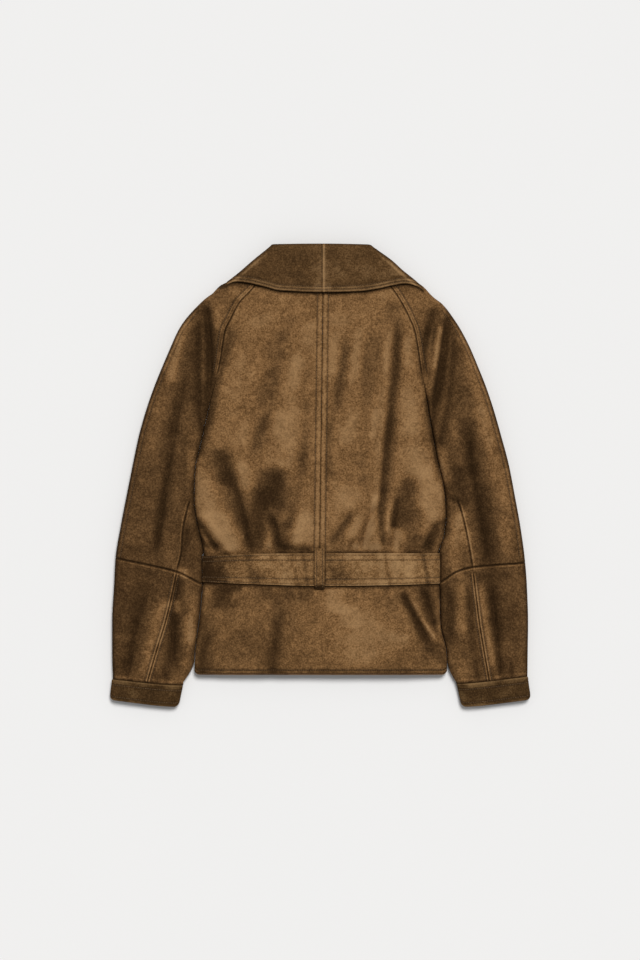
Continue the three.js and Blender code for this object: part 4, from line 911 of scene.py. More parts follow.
@dataclass(frozen=True)
class Drape:
    """How the jacket's two sheets lie: their loft, folds, seams, gathers and unevenness."""

    inside_x: float = 95.0
    outside_x: float = 205.0
    depth: float = 1.35
    folds: tuple[Fold, ...] = field(default_factory=lambda: (
        *Fold.laid(FOLDS), *Fold.laid(CREASES), *Fold.laid(FLOOR_FOLDS),
        *Fold.laid(CROSS_CREASES, Run.ACROSS), *Fold.laid(FLOOR_CROSS_CREASES, Run.ACROSS)))
    # Bands of painted light and shade
    painted_bands: tuple[Fold, ...] = field(default_factory=lambda: (
        *Fold.laid(PAINTED_BANDS), *Fold.laid(PAINTED_BANDS_ACROSS, Run.ACROSS)))
    sleeve_tones: tuple[Curve, Curve] = (Curve.through(SLEEVE_TONES), Curve.through(SLEEVE_TONES, 2))
    seams: tuple[Seam, ...] = field(default_factory=lambda: (
        CENTRE_BACK, *arm_seams(LEFT), *arm_seams(RIGHT)))
    swells: tuple[Unevenness, ...] = (
        Unevenness(11, 46.0, 0.75), Unevenness(12, 19.0, 0.42), Unevenness(13, 8.0, 0.2),
        Unevenness(14, 3.6, 0.07),
    )
    mottles: tuple[Unevenness, ...] = (
        Unevenness(16, 34.0, 0.08), Unevenness(17, 12.0, 0.11), Unevenness(18, 5.0, 0.1))
    # Where the belt presses, and where the cloth puckers above and below it and above a cuff
    pressed: Span = (-172.0, -164.0, -112.0, -107.0)
    puckers_above: Span = (-113.0, -108.0, -106.0, -84.0)
    puckers_below: Span = (-184.0, -168.0, -165.0, -162.0)
    puckers_by_cuff: tuple[float, float] = (-300.0, -276.0)
    pucker: Unevenness = Unevenness(15, 6.5, 0.9)
    pucker_run: float = 0.25
    # The gathers are painted too: lighter where they rise, darker where they sink
    pucker_shade: float = 0.35
    # How much the folds shade a cloth that lies on the floor, where a ridge is a trough from inside
    floor_shade: float = -0.7
    # The strength and half width of the shadows along the collar's edge, above the belt and below it
    collar_shadow: tuple[float, float] = (1.6, 3.1)
    collar_reach: float = 150.0
    belt_shadow: tuple[float, float] = (1.6, 3.3)
    above_belt_width: float = 3.2
    above_belt: Curve = Curve.through((
        (-172, 0.3), (-150, 0.35), (-110, 0.3), (-70, 0.45), (-58, 1), (-14, 1), (-8, 0.5), (4, 0.5),
        (10, 1), (62, 1), (84, 0.8), (100, 0.4), (140, 0.5), (172, 0.6)))
    tucked: float = 4.0
    skirt_from: tuple[float, float] = (-160.0, -120.0)
    contrast: float = 1.3

    def puckered(self, x: Array, y: Array, cloth: Place) -> Array:
        """The gathers, long down the cloth, where it is drawn in by the belt or a cuff."""
        if cloth in (BACK, FRONT):
            drawn_in = span(y, self.puckers_above) + 0.7 * span(y, self.puckers_below)
        else:
            drawn_in = 0.8 * (1.0 - ease(y, *self.puckers_by_cuff))
        return self.pucker(x, y * self.pucker_run) * drawn_in

    def detail(self, x: Array, y: Array, cloth: Place) -> Array:
        """What folds, seams, gathers and unevenness add to a sheet's height.

        Args:
            x: each point's x.
            y: each point's y.
            cloth: the cloth that the points lie in.

        Returns:
            The added height.
        """
        height = np.zeros(np.broadcast(x, y).shape)
        for fold in self.folds:
            if fold.place.shows_in(cloth):
                height = height + self.depth * fold.rise(x, y)
        for swell in self.swells:
            height = height + swell(x, y)
        height = height + self.puckered(x, y, cloth)
        if cloth in (BACK, FRONT):
            height = height * (1.0 - span(y, self.pressed))
        for seam in self.seams:
            if cloth in seam.places:
                height = height + seam.relief(x, y)
        return height

    def crown(self, x: Array, y: Array, cloth: Place) -> Array:
        """The upper sheet's height before its edges roll down."""
        aside = ease(np.abs(x), self.inside_x, self.outside_x)
        return mix(loft_middle(y), loft_sleeve(y), aside) + self.detail(x, y, cloth)

    def tone(self, x: Array, y: Array, cloth: Place) -> Array:
        """How much darker each cloth is drawn as a whole, before its folds: darker sleeves and skirt."""
        if cloth in (BACK, FRONT):
            return SKIRT_TONE * (1.0 - ease(y, *self.skirt_from)) * np.ones(np.broadcast(x, y).shape)
        left, right = (tone(y) for tone in self.sleeve_tones)
        return np.where(x < 0, left, right)

    def shadows(self, x: Array, y: Array, cloth: Place) -> Array:
        """The dark lines on the cloth beside the collar's edge and the belt's two edges."""
        strength, width = self.collar_shadow
        dark = strength * bell(collar_edge(x) - y, width) * (np.abs(x) < self.collar_reach)
        if cloth is BACK:
            above, below = y - belt_top(x), belt_foot(x) - y
            near = bell(np.maximum(above, 0.0) - 0.5, self.above_belt_width)
            dark = dark + self.above_belt(x) * near * (above > -self.tucked)
            strength, width = self.belt_shadow
            dark = dark + strength * bell(np.maximum(below, 0.0), width) * (below > -self.tucked)
        return dark

    def nap(self, x: Array, y: Array, cloth: Place) -> Array:
        """The painted light and shade on the nap, with its mottle: below 0 for painted shade in troughs,
        grooves and shadows, above 0 for painted highlight on ridges and padded bands.

        Args:
            x: each point's x.
            y: each point's y.
            cloth: the cloth that the points lie in.

        Returns:
            The shade, from -1 to 1.
        """
        upper = cloth in (BACK, SLEEVE)
        shade = self.tone(x, y, cloth)
        for fold in self.folds:
            if fold.place.shows_in(cloth):
                shade = shade + (1.0 if upper else self.floor_shade) * fold.shade(x, y)
        for band in self.painted_bands:
            if band.place.shows_in(cloth):
                shade = shade + band.painted_light_and_shade(x, y)
        for mottle in self.mottles:
            shade = shade + mottle(x, y)
        shade = shade + self.pucker_shade * self.puckered(x, y, cloth)
        for seam in self.seams:
            if cloth in seam.places:
                shade = shade + seam.painted_shade_and_highlight(x, y)
        if upper:
            shade = shade - self.shadows(x, y, cloth)
        return np.tanh(self.contrast * shade)

    def nap_of(self, cloth: Place) -> Height:
        """The shade of one cloth's nap as a function of x and y."""
        return lambda x, y: self.nap(x, y, cloth)


DRAPE = Drape()


def parted(y: Array) -> Array:
    """0 where torso and sleeve are one hollow, 1 where they have parted below the armpit."""
    return ease(ARMPIT_Y - y, 0.0, ARMPIT_Y - ARMHOLE_CLOSED_Y)


def torso_roll(x: Array, y: Array, radius: float) -> Array:
    """The roll at the torso's side edges, below the armpit."""
    from_side = np.where(x < 0, x - LEFT.torso(y), RIGHT.torso(y) - x)
    return mix(1.0, rolled(from_side, radius), parted(y))


def sleeve_roll(side: Side, x: Array, y: Array, outer_radius: float, inner_radius: float) -> Array:
    """The roll at a sleeve's outer edge, and below the armpit at its inner edge."""
    from_outer = rolled(side.sign * (side.outer(y) - x), outer_radius)
    return from_outer * mix(1.0, rolled(side.sign * (x - side.inner(y)), inner_radius), parted(y))


def torso_top(x: Array, y: Array) -> Array:
    """The back's height."""
    return mix(TORSO_SEAM_Z + HALF_GAP, DRAPE.crown(x, y, BACK), torso_roll(x, y, TORSO_ROLL))


def sleeve_top(side: Side) -> Height:
    """The height of a sleeve's back."""
    def height(x: Array, y: Array) -> Array:
        """The rim's height mixed with the crown by the sleeve's roll."""
        roll = sleeve_roll(side, x, y, SLEEVE_ROLL, INNER_ROLL)
        return mix(SLEEVE_SEAM_Z + HALF_GAP, DRAPE.crown(x, y, SLEEVE), roll)
    return height


def from_collar_top(x: Array, y: Array) -> Array:
    """The distance from the collar's slanted and top outline, square to it."""
    return (collar_top(x) - y) / stretch(collar_top, x)


def lapel_lift(side: Side, x: Array, y: Array) -> Array:
    """How far a lapel lifts the cloth that lies on it, most where it rises to the collar's edge."""
    outside = side.sign * (x - side.lapel(np.minimum(y, LAPEL_CORNER_Y)))
    inset = np.maximum(from_collar_top(x, y) - LAPEL_INSET, 0.0)
    rise = mix(COLLAR_SEAM_Z, 0.0, rolled(inset, LAPEL_ROLL))
    lift = np.minimum(LAYER_LIFT + LAPEL_PUSH * rise, SLEEVE_SEAM_Z - 1.0)
    return lift * (1.0 - ease(outside, *LAPEL_SLOPE)) * ease(y, *LAPEL_FOOT)


def belt_lift(x: Array, y: Array) -> Array:
    """How far the belt lifts the fronts: twice as far where its ends lap."""
    layers = 2.0 - ease(np.abs(x) - BELT_END_X, *BELT_END_SLOPE)
    return BELT_LIFT * layers * span(y, BELT_SLOPES)


def with_folds(lift: Array, x: Array, y: Array, cloth: Place) -> Array:
    """The lift and the folds that rise off the floor, which lie flat where the cloth is lifted."""
    return lift + np.maximum(DRAPE.detail(x, y, cloth), 0.0) * (1.0 - ease(lift, *LIFTED))


def front_face(side: Side) -> Height:
    """The height of a front, which lies on the floor, on the belt, on its lapel and on the other front."""
    def height(x: Array, y: Array) -> Array:
        """The greatest lift and the folds, mixed with the rim's height by the torso's roll."""
        slope = ease(-x - FRONT_LAP, *LAP_SLOPE)
        lapped = LAYER_LIFT * (1.0 - slope) if side.sign < 0 else np.zeros_like(x)
        lapped = lapped * (1.0 - ease(y, FRONTS_PART_Y + 4.0, BREAK_Y))
        lift = with_folds(belt_lift(x, y) + np.maximum(lapel_lift(side, x, y), lapped), x, y, FRONT)
        return mix(TORSO_SEAM_Z - HALF_GAP, lift, torso_roll(x, y, FLOOR_ROLL))
    return height


def sleeve_face(side: Side) -> Height:
    """The height of a sleeve's front, which lies on the floor."""
    def height(x: Array, y: Array) -> Array:
        """The lapel's lift and the folds, mixed with the rim's height by the sleeve's roll."""
        lift = with_folds(lapel_lift(side, x, y), x, y, UNDER_SLEEVE)
        roll = sleeve_roll(side, x, y, FLOOR_ROLL, FLOOR_ROLL)
        return mix(SLEEVE_SEAM_Z - HALF_GAP, lift, roll)
    return height


def quarter_round(radius: float, count: int = 13) -> Array:
    """Distances in from a rolled edge, as even steps round it: r(1 - cos a)."""
    return radius * (1.0 - np.cos(np.linspace(0.0, math.pi / 2, count)))


CUT_EDGE = np.array([0, 0.35, 0.7, 1.1, 1.6, 2.2, 2.9, 3.5, 4.2, 5.2, 6.1, 6.5, 6.9, 7.3, 7.9, 8.8, 10.0])
NO_EDGE = np.array([0.0])


def graded(start: float, end: float, step: float, near: Array = CUT_EDGE, far: Array = CUT_EDGE) -> Array:
    """Places from start to end: fine steps by both ends, and even ones between.

    Args:
        start: the first place.
        end: the last place.
        step: the even steps' size.
        near: distances from the start.
        far: distances from the end.

    Returns:
        The places in order.
    """
    way = math.copysign(1.0, end - start)
    length = abs(end - start)
    count = max(int(round((length - near[-1] - far[-1]) / step)), 2)
    middle = np.linspace(near[-1], length - far[-1], count + 1)[1:-1]
    return start + way * np.concatenate([near, middle, (length - far)[::-1]])


class SewnPiece:
    """Puts one piece of the jacket into the scene."""

    @staticmethod
    def mesh_of(name: str, points: Array, faces: Array | list, nap: Array | None = None) -> Piece:
        """Makes an object from points in millimetres.

        Args:
            name: the object's name.
            points: one row of x, y and z for each point.
            faces: the points of each face.
            nap: the shade of the nap at each point.

        Returns:
            The object, smooth apart from its sharp edges.
        """
        mesh = bpy.data.meshes.new(name)
        mesh.from_pydata(points / METRE, [], faces)
        mesh.polygons.foreach_set("use_smooth", np.ones(len(mesh.polygons), bool))
        mesh.set_sharp_from_angle(angle=math.radians(62))
        if nap is not None:
            shade = mesh.attributes.new("nap", "FLOAT", "POINT")
            shade.data.foreach_set("value", nap.astype(np.float32).ravel())
        mesh.update()
        mesh.validate()
        piece = bpy.data.objects.new(name, mesh)
        bpy.context.scene.collection.objects.link(piece)
        return piece

    @staticmethod
    def dress(piece: Piece, material: Material, slot: str) -> Piece:
        """Gives a piece its material and lets it ride on the jacket."""
        piece.data.materials.append(material)
        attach(piece, BODY)
        return piece

    @staticmethod
    def cloth(piece: Piece, node: str, rests_on: tuple[str, ...], lap: float | None = None) -> None:
        """Hides the piece's CAD node and works out the size of its cut, which nothing then uses. Cloth laid
        flat keeps its area, so the cut has half the area of the piece's closed wall. It is as long and wide
        as the piece, and more by as much as folds and turned edges take up. A band goes round both layers, so
        its cut is as long as the way round.

        Args:
            piece: the piece.
            node: the node's name.
            rests_on: what carries the piece; not used.
            lap: how far a band's ends lap, in millimetres, and None for a piece that isn't a band.
        """
        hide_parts(node)
        mesh = piece.data
        points = np.empty(3 * len(mesh.vertices))
        mesh.vertices.foreach_get("co", points)
        wide, long, deep = np.ptp(points.reshape(-1, 3), axis=0)
        area = sum(face.area for face in mesh.polygons) / 2.0
        if lap is None:
            covered = sum(face.area * abs(face.normal.z) for face in mesh.polygons) / 2.0
            wide = wide * math.sqrt(area / covered)
            long = max(long * math.sqrt(area / covered), area / wide)
        else:
            wide = 2.0 * (wide + deep) + lap / METRE
        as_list(rests_on)


def wall_faces(rows: int, columns: int, closed: bool) -> Array:
    """The four-sided faces of a wall: its two skins and the rims that join them.

    Args:
        rows: the number of rows of points in a skin.
        columns: the number of columns.
        closed: whether the columns go all round and meet.

    Returns:
        One row of four point numbers for each face.
    """
    def quads(a: Array, b: Array, c: Array, d: Array) -> Array:
        """Faces from four arrays of corners."""
        return np.stack([a.ravel(), b.ravel(), c.ravel(), d.ravel()], axis=1)
    cells = columns if closed else columns - 1
    r, c = np.meshgrid(np.arange(rows - 1), np.arange(cells), indexing="ij")
    skin = rows * columns
    a, b = r * columns + c, r * columns + (c + 1) % columns
    d, e = a + columns, b + columns
    faces = [quads(a, b, e, d), quads(a + skin, d + skin, e + skin, b + skin)]
    first = np.arange(cells)
    after = (first + 1) % columns
    last = (rows - 1) * columns
    faces.append(quads(first, first + skin, after + skin, after))
    faces.append(quads(last + first, last + after, last + after + skin, last + first + skin))
    if not closed:
        side = np.arange(rows - 1) * columns
        faces.append(quads(side, side + columns, side + columns + skin, side + skin))
        side = side + cells
        faces.append(quads(side, side + skin, side + columns + skin, side + columns))
    return np.concatenate(faces)


def outward(points: Array, faces: Array) -> Array:
    """The faces turned so that they look out: their signed volume is positive."""
    a, b, c, d = (points[faces[:, i]] for i in range(4))
    volume = np.sum(a * np.cross(b, c)) + np.sum(a * np.cross(c, d))
    return faces if volume > 0 else faces[:, ::-1]


def grid_normals(grid: Array) -> Array:
    """The unit normals of a grid of points: the cross product of its two tangents."""
    normal = np.cross(np.gradient(grid, axis=1), np.gradient(grid, axis=0))
    return normal / np.maximum(np.linalg.norm(normal, axis=2, keepdims=True), 1e-9)


@dataclass(frozen=True)
class Sheet:
    """What panels are cut from: a height and a nap's shade at each x and y, and the way that they look.

    Its rim is the height of the seam that it meets, and the inner skin doesn't go past it.
    """

    height: Height
    nap: Height
    facing: Facing
    rim: float | None = None
    cloth: float = SUEDE

    @classmethod
    def joined(cls, height: Height, nap: Height, facing: Facing, seam_z: float) -> "Sheet":
        """A sheet that meets the other one at a seam, half the seam's gap above or below it."""
        return cls(height, nap, facing, seam_z + facing.value * HALF_GAP)


@dataclass(frozen=True)
class Panel:
    """A wall of cloth whose outer skin is its sheet's height between two side edges.

    A point's place across is a distance in from the edges, near(j) by each and even steps between, and its
    place along is row(x, level), so both follow lines that lean: they are settled together in a few passes.
    """

    start: Edge
    end: Edge
    near_start: Array
    near_end: Array
    step: float
    levels: Array
    row: Height
    sheet: Sheet

    def spacing(self, width: float) -> tuple[Array, Array, float]:
        """How each column's distance is made: a part of the squeeze and a part of the width."""
        reach = float(self.near_start[-1] + self.near_end[-1])
        count = max(int(round((width - min(reach, 0.6 * width)) / self.step)), 2)
        part = np.linspace(0.0, 1.0, count + 1)[1:-1]
        squeezed = np.concatenate([
            self.near_start, self.near_start[-1] * (1 - part) - self.near_end[-1] * part,
            -self.near_end[::-1]])
        widened = np.concatenate([np.zeros(len(self.near_start)), part, np.ones(len(self.near_end))])
        return squeezed, widened, max(reach, 1.0)

    def plan(self) -> tuple[Array, Array]:
        """The x and y of every point of the panel.

        Returns:
            Two arrays with a row for each level and a column for each place across.
        """
        level = self.levels[:, None]
        guess = self.row(np.zeros_like(level), level)
        widths = np.abs(self.end(guess) - self.start(guess))
        squeezed, widened, reach = self.spacing(float(np.median(widths)))
        y = np.broadcast_to(guess, (len(self.levels), len(squeezed)))
        x = y
        for _ in range(8):
            start, end = self.start(y), self.end(y)
            width = np.abs(end - start)
            squeeze = np.minimum(1.0, 0.6 * width / reach)
            x = start + np.sign(end - start) * (squeezed * squeeze + widened * width)
            y = self.row(x, level)
        return x, y

    def skins(self) -> tuple[Array, Array, Array]:
        """The outer and the inner skin's points, and the shade of the nap.

        Returns:
            Two grids of points and a grid of shades.
        """
        sheet = self.sheet
        x, y = self.plan()
        outer = np.stack([x, y, sheet.height(x, y)], axis=2)
        normal = grid_normals(outer)
        if np.sum(normal[..., 2]) * sheet.facing.value < 0:
            normal = -normal
        inner = outer - normal * sheet.cloth
        if sheet.rim is not None:
            limit = np.maximum if sheet.facing is Facing.UP else np.minimum
            inner[..., 2] = limit(inner[..., 2], sheet.rim)
        return outer, inner, sheet.nap(x, y)

    def build(self, name: str) -> Piece:
        """The panel as a closed wall."""
        outer, inner, nap = self.skins()
        return close_wall(name, outer, inner, nap)


def close_wall(name: str, outer: Array, inner: Array, nap: Array,
               closed: bool = False) -> Piece:
    """Makes a closed wall from two grids of points.

    Args:
        name: the object's name.
        outer: the outer skin's points.
        inner: the inner skin's points.
        nap: the shade of the nap at the outer skin's points.
        closed: whether the columns go all round and meet.

    Returns:
        The object, with its faces looking out.
    """
    points = np.concatenate([outer.reshape(-1, 3), inner.reshape(-1, 3)])
    faces = outward(points, wall_faces(outer.shape[0], outer.shape[1], closed))
    return SewnPiece.mesh_of(name, points, faces, np.concatenate([nap.ravel(), nap.ravel()]))


class Graph:
    """A material's nodes, each added with its inputs in one call."""

    def __init__(self, name: str) -> None:
        """Starts an empty material."""
        self.material = bpy.data.materials.new(name)
        self.material.use_nodes = True
        self.tree = self.material.node_tree
        self.tree.nodes.clear()

    def add(self, kind: str, inputs: dict | None = None, **settings: object) -> Node:
        """Adds a node.

        Args:
            kind: the node's type, without its first part.
            inputs: values or sockets for its inputs, by name or number.
            settings: the node's own settings.

        Returns:
            The node.
        """
        node = self.tree.nodes.new("ShaderNode" + kind)
        for key, value in settings.items():
            setattr(node, key, value)
        for key, value in (inputs or {}).items():
            if isinstance(value, Socket):
                self.tree.links.new(value, node.inputs[key])
            else:
                node.inputs[key].default_value = value
        return node

    def noise(self, where: Socket, scale: float, detail: float, rough: float = 0.55,
              distortion: float = 0.0) -> Socket:
        """A noise pattern's level."""
        return self.add("TexNoise", {
            "Vector": where, "Scale": scale, "Detail": detail, "Roughness": rough,
            "Distortion": distortion}).outputs[0]

    def mapped(self, level: Socket, given: tuple[float, float], wanted: tuple[float, float]) -> Socket:
        """A level mapped from one range to another."""
        ranges = dict(enumerate((*given, *wanted), 1))
        return self.add("MapRange", {0: level, **ranges}).outputs[0]

    def finished(self, inputs: dict) -> Material:
        """The material, with a surface of these inputs."""
        shader = self.add("BsdfPrincipled", inputs)
        self.add("OutputMaterial", {"Surface": shader.outputs[0]})
        return self.material

    def ramp(self, level: Socket, stops: Sequence[tuple[float, Rgb]]) -> Socket:
        """A colour for each level."""
        node = self.add("ValToRGB", {0: level})
        elements = node.color_ramp.elements
        for _ in range(len(stops) - 2):
            elements.new(0.5)
        for element, (place, colour) in zip(elements, stops):
            element.position = place
            element.color = (*colour, 1.0)
        return node.outputs[0]

    def sum_of(self, parts: Iterable[tuple[Socket, float]]) -> Socket:
        """Levels added together, each with its weight."""
        total = None
        for level, weight in parts:
            scaled = self.add("Math", {0: level, 1: weight}, operation="MULTIPLY").outputs[0]
            total = scaled if total is None else self.add("Math", {0: total, 1: scaled}).outputs[0]
        return total

    def tint(self, below: Socket, above: Rgb, part: Socket) -> Socket:
        """A colour laid over another one."""
        node = self.add("Mix", {0: part}, data_type="RGBA")
        self.tree.links.new(below, node.inputs[6])
        node.inputs[7].default_value = (*above, 1.0)
        return node.outputs[2]


@dataclass(frozen=True)
class SuedeFinish:
    """Brushed suede: mottled nap, with painted shade that darkens it in troughs and grooves and painted
    highlight and wear that lighten it on ridges and edges.
    """

    name: str
    # deep is the colour of painted shade, and the last colour is that of painted highlight and worn nap
    deep: Rgb
    dark: Rgb
    mid: Rgb
    lit: Rgb
    wear_and_painted_light: Rgb
    patch_scale: float = 30.0
    nap_scale: float = 170.0
    fibre_scale: float = 460.0
    shares: tuple[float, float, float] = (0.16, 0.24, 0.60)
    stops: tuple[float, float, float] = (0.42, 0.50, 0.59)
    wear_and_painted_light_share: float = 0.85
    sheen: float = 0.05

    def material(self) -> Material:
        """The finish as a material.

        Patches of three sizes are added up and given colours from dark to lit. The piece's painted shade then
        draws the colour to the deep one in troughs, grooves and painted shadows, and its painted highlight
        and wear to the lightest one on ridges and edges. Fibres and small patches raise the bump.

        Returns:
            The material.
        """
        graph = Graph(self.name)
        where = graph.add("TexCoord").outputs["Object"]
        patches = graph.noise(where, self.patch_scale, 5.0, 0.62, 0.6)
        nap = graph.noise(where, self.nap_scale, 5.0, 0.65, 0.4)
        fibres = graph.noise(where, self.fibre_scale, 4.0, 0.7)
        level = graph.sum_of(zip((patches, nap, fibres), self.shares))
        colour = graph.ramp(level, list(zip(self.stops, (self.dark, self.mid, self.lit))))
        shade = graph.add("Attribute", attribute_name="nap").outputs["Fac"]
        # The painted shade and highlight, made uneven by the mottle
        scuff = graph.mapped(level, (0.38, 0.62), (-0.14, 0.14))
        painted_shade_with_grain = graph.add("Math", {0: shade, 1: scuff}).outputs[0]
        colour = graph.tint(colour, self.deep, graph.mapped(painted_shade_with_grain, (0.0, -1.0), (0.0, 1.0)))
        colour = graph.tint(colour, self.wear_and_painted_light, graph.mapped(painted_shade_with_grain, (0.0, 1.0), (0.0, self.wear_and_painted_light_share)))
        rough = graph.mapped(level, (0.3, 0.7), (0.98, 0.84))
        soft = graph.add("Bump", {"Strength": 0.45, "Distance": 0.0012, "Height": nap})
        fine = graph.add("Bump", {"Strength": 0.55, "Distance": 0.0005, "Height": fibres,
                                  "Normal": soft.outputs[0]})
        return graph.finished({
            "Base Color": colour, "Roughness": rough, "Normal": fine.outputs[0], "Specular IOR Level": 0.06,
            "Sheen Weight": self.sheen, "Sheen Roughness": 0.45, "Sheen Tint": (*self.wear_and_painted_light, 1.0)})


@dataclass(frozen=True)
class ThreadFinish:
    """Waxed sewing thread, with a twist along it."""

    name: str
    dark: Rgb
    light: Rgb

    def material(self) -> Material:
        """The finish as a material: two colours in a fine wave, with a bump for the twist."""
        graph = Graph(self.name)
        where = graph.add("TexCoord").outputs["Object"]
        soil = graph.noise(where, 220.0, 3.0)
        twist = graph.add("TexWave", {"Vector": where, "Scale": 900.0, "Distortion": 1.5},
                          bands_direction="DIAGONAL").outputs[1]
        colour = graph.ramp(soil, ((0.35, self.dark), (0.65, self.light)))
        bump = graph.add("Bump", {"Strength": 0.5, "Distance": 0.0002, "Height": twist})
        return graph.finished({"Base Color": colour, "Roughness": 0.75, "Normal": bump.outputs[0]})


@dataclass(frozen=True)
class FloorFinish:
    """The plain pale floor, matt, with the faintest mottle."""

    name: str = "pale_floor"
    shade: float = 0.8

    def material(self) -> Material:
        """The finish as a material."""
        graph = Graph(self.name)
        where = graph.add("TexCoord").outputs["Object"]
        cloud = graph.noise(where, 2.0, 2.0)
        tone = (self.shade,) * 3
        colour = graph.ramp(cloud, ((0.3, tone), (0.7, tuple(value * 1.004 for value in tone))))
        return graph.finished({"Base Color": colour, "Roughness": 0.9, "Specular IOR Level": 0.0})


@dataclass(frozen=True)
class Palette:
    """The finishes that the jacket is made of, each made once."""

    body: Material
    collar: Material
    cuff: Material
    belt: Material
    thread: Material

    @classmethod
    def mixed(cls) -> "Palette":
        """Makes every finish."""
        return cls(
            body=SuedeFinish("suede_body", deep=(0.026, 0.0125, 0.004), dark=(0.102, 0.051, 0.0175),
                             mid=(0.174, 0.090, 0.034), lit=(0.262, 0.140, 0.055),
                             wear_and_painted_light=(0.37, 0.220, 0.100)).material(),
            collar=SuedeFinish("suede_collar", deep=(0.02, 0.010, 0.0035), dark=(0.053, 0.0265, 0.009),
                               mid=(0.084, 0.043, 0.015), lit=(0.128, 0.068, 0.0265),
                               wear_and_painted_light=(0.33, 0.195, 0.087)).material(),
            cuff=SuedeFinish("suede_cuff", deep=(0.02, 0.010, 0.0035), dark=(0.034, 0.0175, 0.006),
                             mid=(0.054, 0.028, 0.0095), lit=(0.083, 0.044, 0.0165),
                             wear_and_painted_light=(0.26, 0.155, 0.065)).material(),
            belt=SuedeFinish("suede_belt", deep=(0.026, 0.0125, 0.004), dark=(0.098, 0.050, 0.0175),
                             mid=(0.168, 0.088, 0.033), lit=(0.27, 0.149, 0.060),
                             wear_and_painted_light=(0.41, 0.250, 0.115)).material(),
            thread=ThreadFinish("sewing_thread", dark=(0.085, 0.046, 0.018),
                                light=(0.19, 0.112, 0.048)).material(),
        )


@dataclass
class Stitching:
    """Rows of thread, gathered into one mesh for each group of pieces.

    A stitch is a short rod of five sides whose ends dip into the cloth. One rod is worked out, and all of
    a group's stitches are that rod turned to its row's direction and the cloth's normal.
    """

    length: float = 2.5
    pitch: float = 3.4
    thickness: float = 0.62
    sides: int = 5
    ring_places: tuple[float, ...] = (-0.5, -0.36, 0.0, 0.36, 0.5)
    ring_sizes: tuple[float, ...] = (0.45, 0.85, 1.0, 0.85, 0.45)
    ring_lifts: tuple[float, ...] = (-0.16, 0.06, 0.16, 0.06, -0.16)
    centres: list[Array] = field(default_factory=list)
    ways: list[Array] = field(default_factory=list)
    ups: list[Array] = field(default_factory=list)

    def sew(self, points: Array, ups: Array) -> None:
        """Adds a row of stitches along a path.

        Args:
            points: the path's points on the cloth.
            ups: the cloth's normals there.
        """
        steps = np.linalg.norm(np.diff(points, axis=0), axis=1)
        along = np.concatenate([[0.0], np.cumsum(steps)])
        count = int(along[-1] // self.pitch)
        if count < 1:
            return
        at = (np.arange(count) + 0.5) * (along[-1] / count)
        def placed(values: Array, where: Array) -> Array:
            """Values along the path at the wanted lengths."""
            return np.stack([np.interp(where, along, values[:, i]) for i in range(3)], axis=1)
        way = placed(points, at + self.length / 2) - placed(points, at - self.length / 2)
        self.centres.append(placed(points, at))
        self.ways.append(way / np.maximum(np.linalg.norm(way, axis=1, keepdims=True), 1e-9))
        self.ups.append(placed(ups, at))

    def sew_on(self, height: Height, x: Array, y: Array, facing: Facing = Facing.UP) -> None:
        """Adds a row on a sheet, where its normal is square to the height's two slopes."""
        gap = 0.3
        z = height(x, y)
        slope_x = (height(x + gap, y) - height(x - gap, y)) / (2 * gap)
        slope_y = (height(x, y + gap) - height(x, y - gap)) / (2 * gap)
        up = np.stack([-slope_x, -slope_y, np.ones_like(z)], axis=1)
        up = facing.value * up / np.linalg.norm(up, axis=1, keepdims=True)
        self.sew(np.stack([x, y, z], axis=1), up)

    def rod(self) -> tuple[Array, Array]:
        """One stitch's rings and the height of each ring's middle over the cloth."""
        along = np.array(self.ring_places) * self.length
        radius = np.array(self.ring_sizes) * self.thickness / 2
        lift = np.array(self.ring_lifts)
        angle = np.arange(self.sides) * 2 * math.pi / self.sides
        across = radius[:, None] * np.cos(angle)
        up = lift[:, None] + radius[:, None] * np.sin(angle)
        return np.broadcast_to(along[:, None], across.shape), np.stack([across, up])

    def build(self, name: str, palette: Palette, slot: str) -> Piece:
        """Makes the mesh of every stitch added so far, and forgets them.

        Args:
            name: the object's name.
            palette: the finishes.
            slot: the slot of the piece that the thread is sewn into; not used.

        Returns:
            The object.
        """
        centre, way, up = (np.concatenate(rows) for rows in (self.centres, self.ways, self.ups))
        across = np.cross(up, way)
        across = across / np.maximum(np.linalg.norm(across, axis=1, keepdims=True), 1e-9)
        up = np.cross(way, across)
        along, (aside, high) = self.rod()
        rings, sides = along.shape
        points = (centre[:, None, None, :] + along[None, :, :, None] * way[:, None, None, :]
                  + aside[None, :, :, None] * across[:, None, None, :]
                  + high[None, :, :, None] * up[:, None, None, :])
        r, s = np.meshgrid(np.arange(rings - 1), np.arange(sides), indexing="ij")
        a, b = r * sides + s, r * sides + (s + 1) % sides
        body = np.stack([a, b, b + sides, a + sides], axis=2).reshape(-1, 4)
        caps = [list(range(sides))[::-1], [(rings - 1) * sides + i for i in range(sides)]]
        each = rings * sides
        start = np.arange(len(centre)) * each
        quads = (body[None] + start[:, None, None]).reshape(-1, 4)
        ends = (np.array(caps)[None] + start[:, None, None]).reshape(-1, sides)
        piece = SewnPiece.mesh_of(name, points.reshape(-1, 3), quads.tolist() + ends.tolist())
        self.centres, self.ways, self.ups = [], [], []
        return SewnPiece.dress(piece, palette.thread, slot)


def level_row(x: Array, level: Array) -> Array:
    """A row that keeps one y across the panel."""
    return level + 0.0 * x


def between(start: Edge, end: Edge) -> Height:
    """Rows spread between two lines across a panel, by the part of the way."""
    return lambda x, part: mix(start(x), end(x), part)


def hem_line(x: Array) -> Array:
    """The hem, which rounds up at its two corners."""
    corner = np.where(x < 0, x - LEFT.torso(HEM_Y), RIGHT.torso(HEM_Y) - x)
    return HEM_Y + CORNER_ROUND * (1.0 - rolled(corner, CORNER_ROUND))


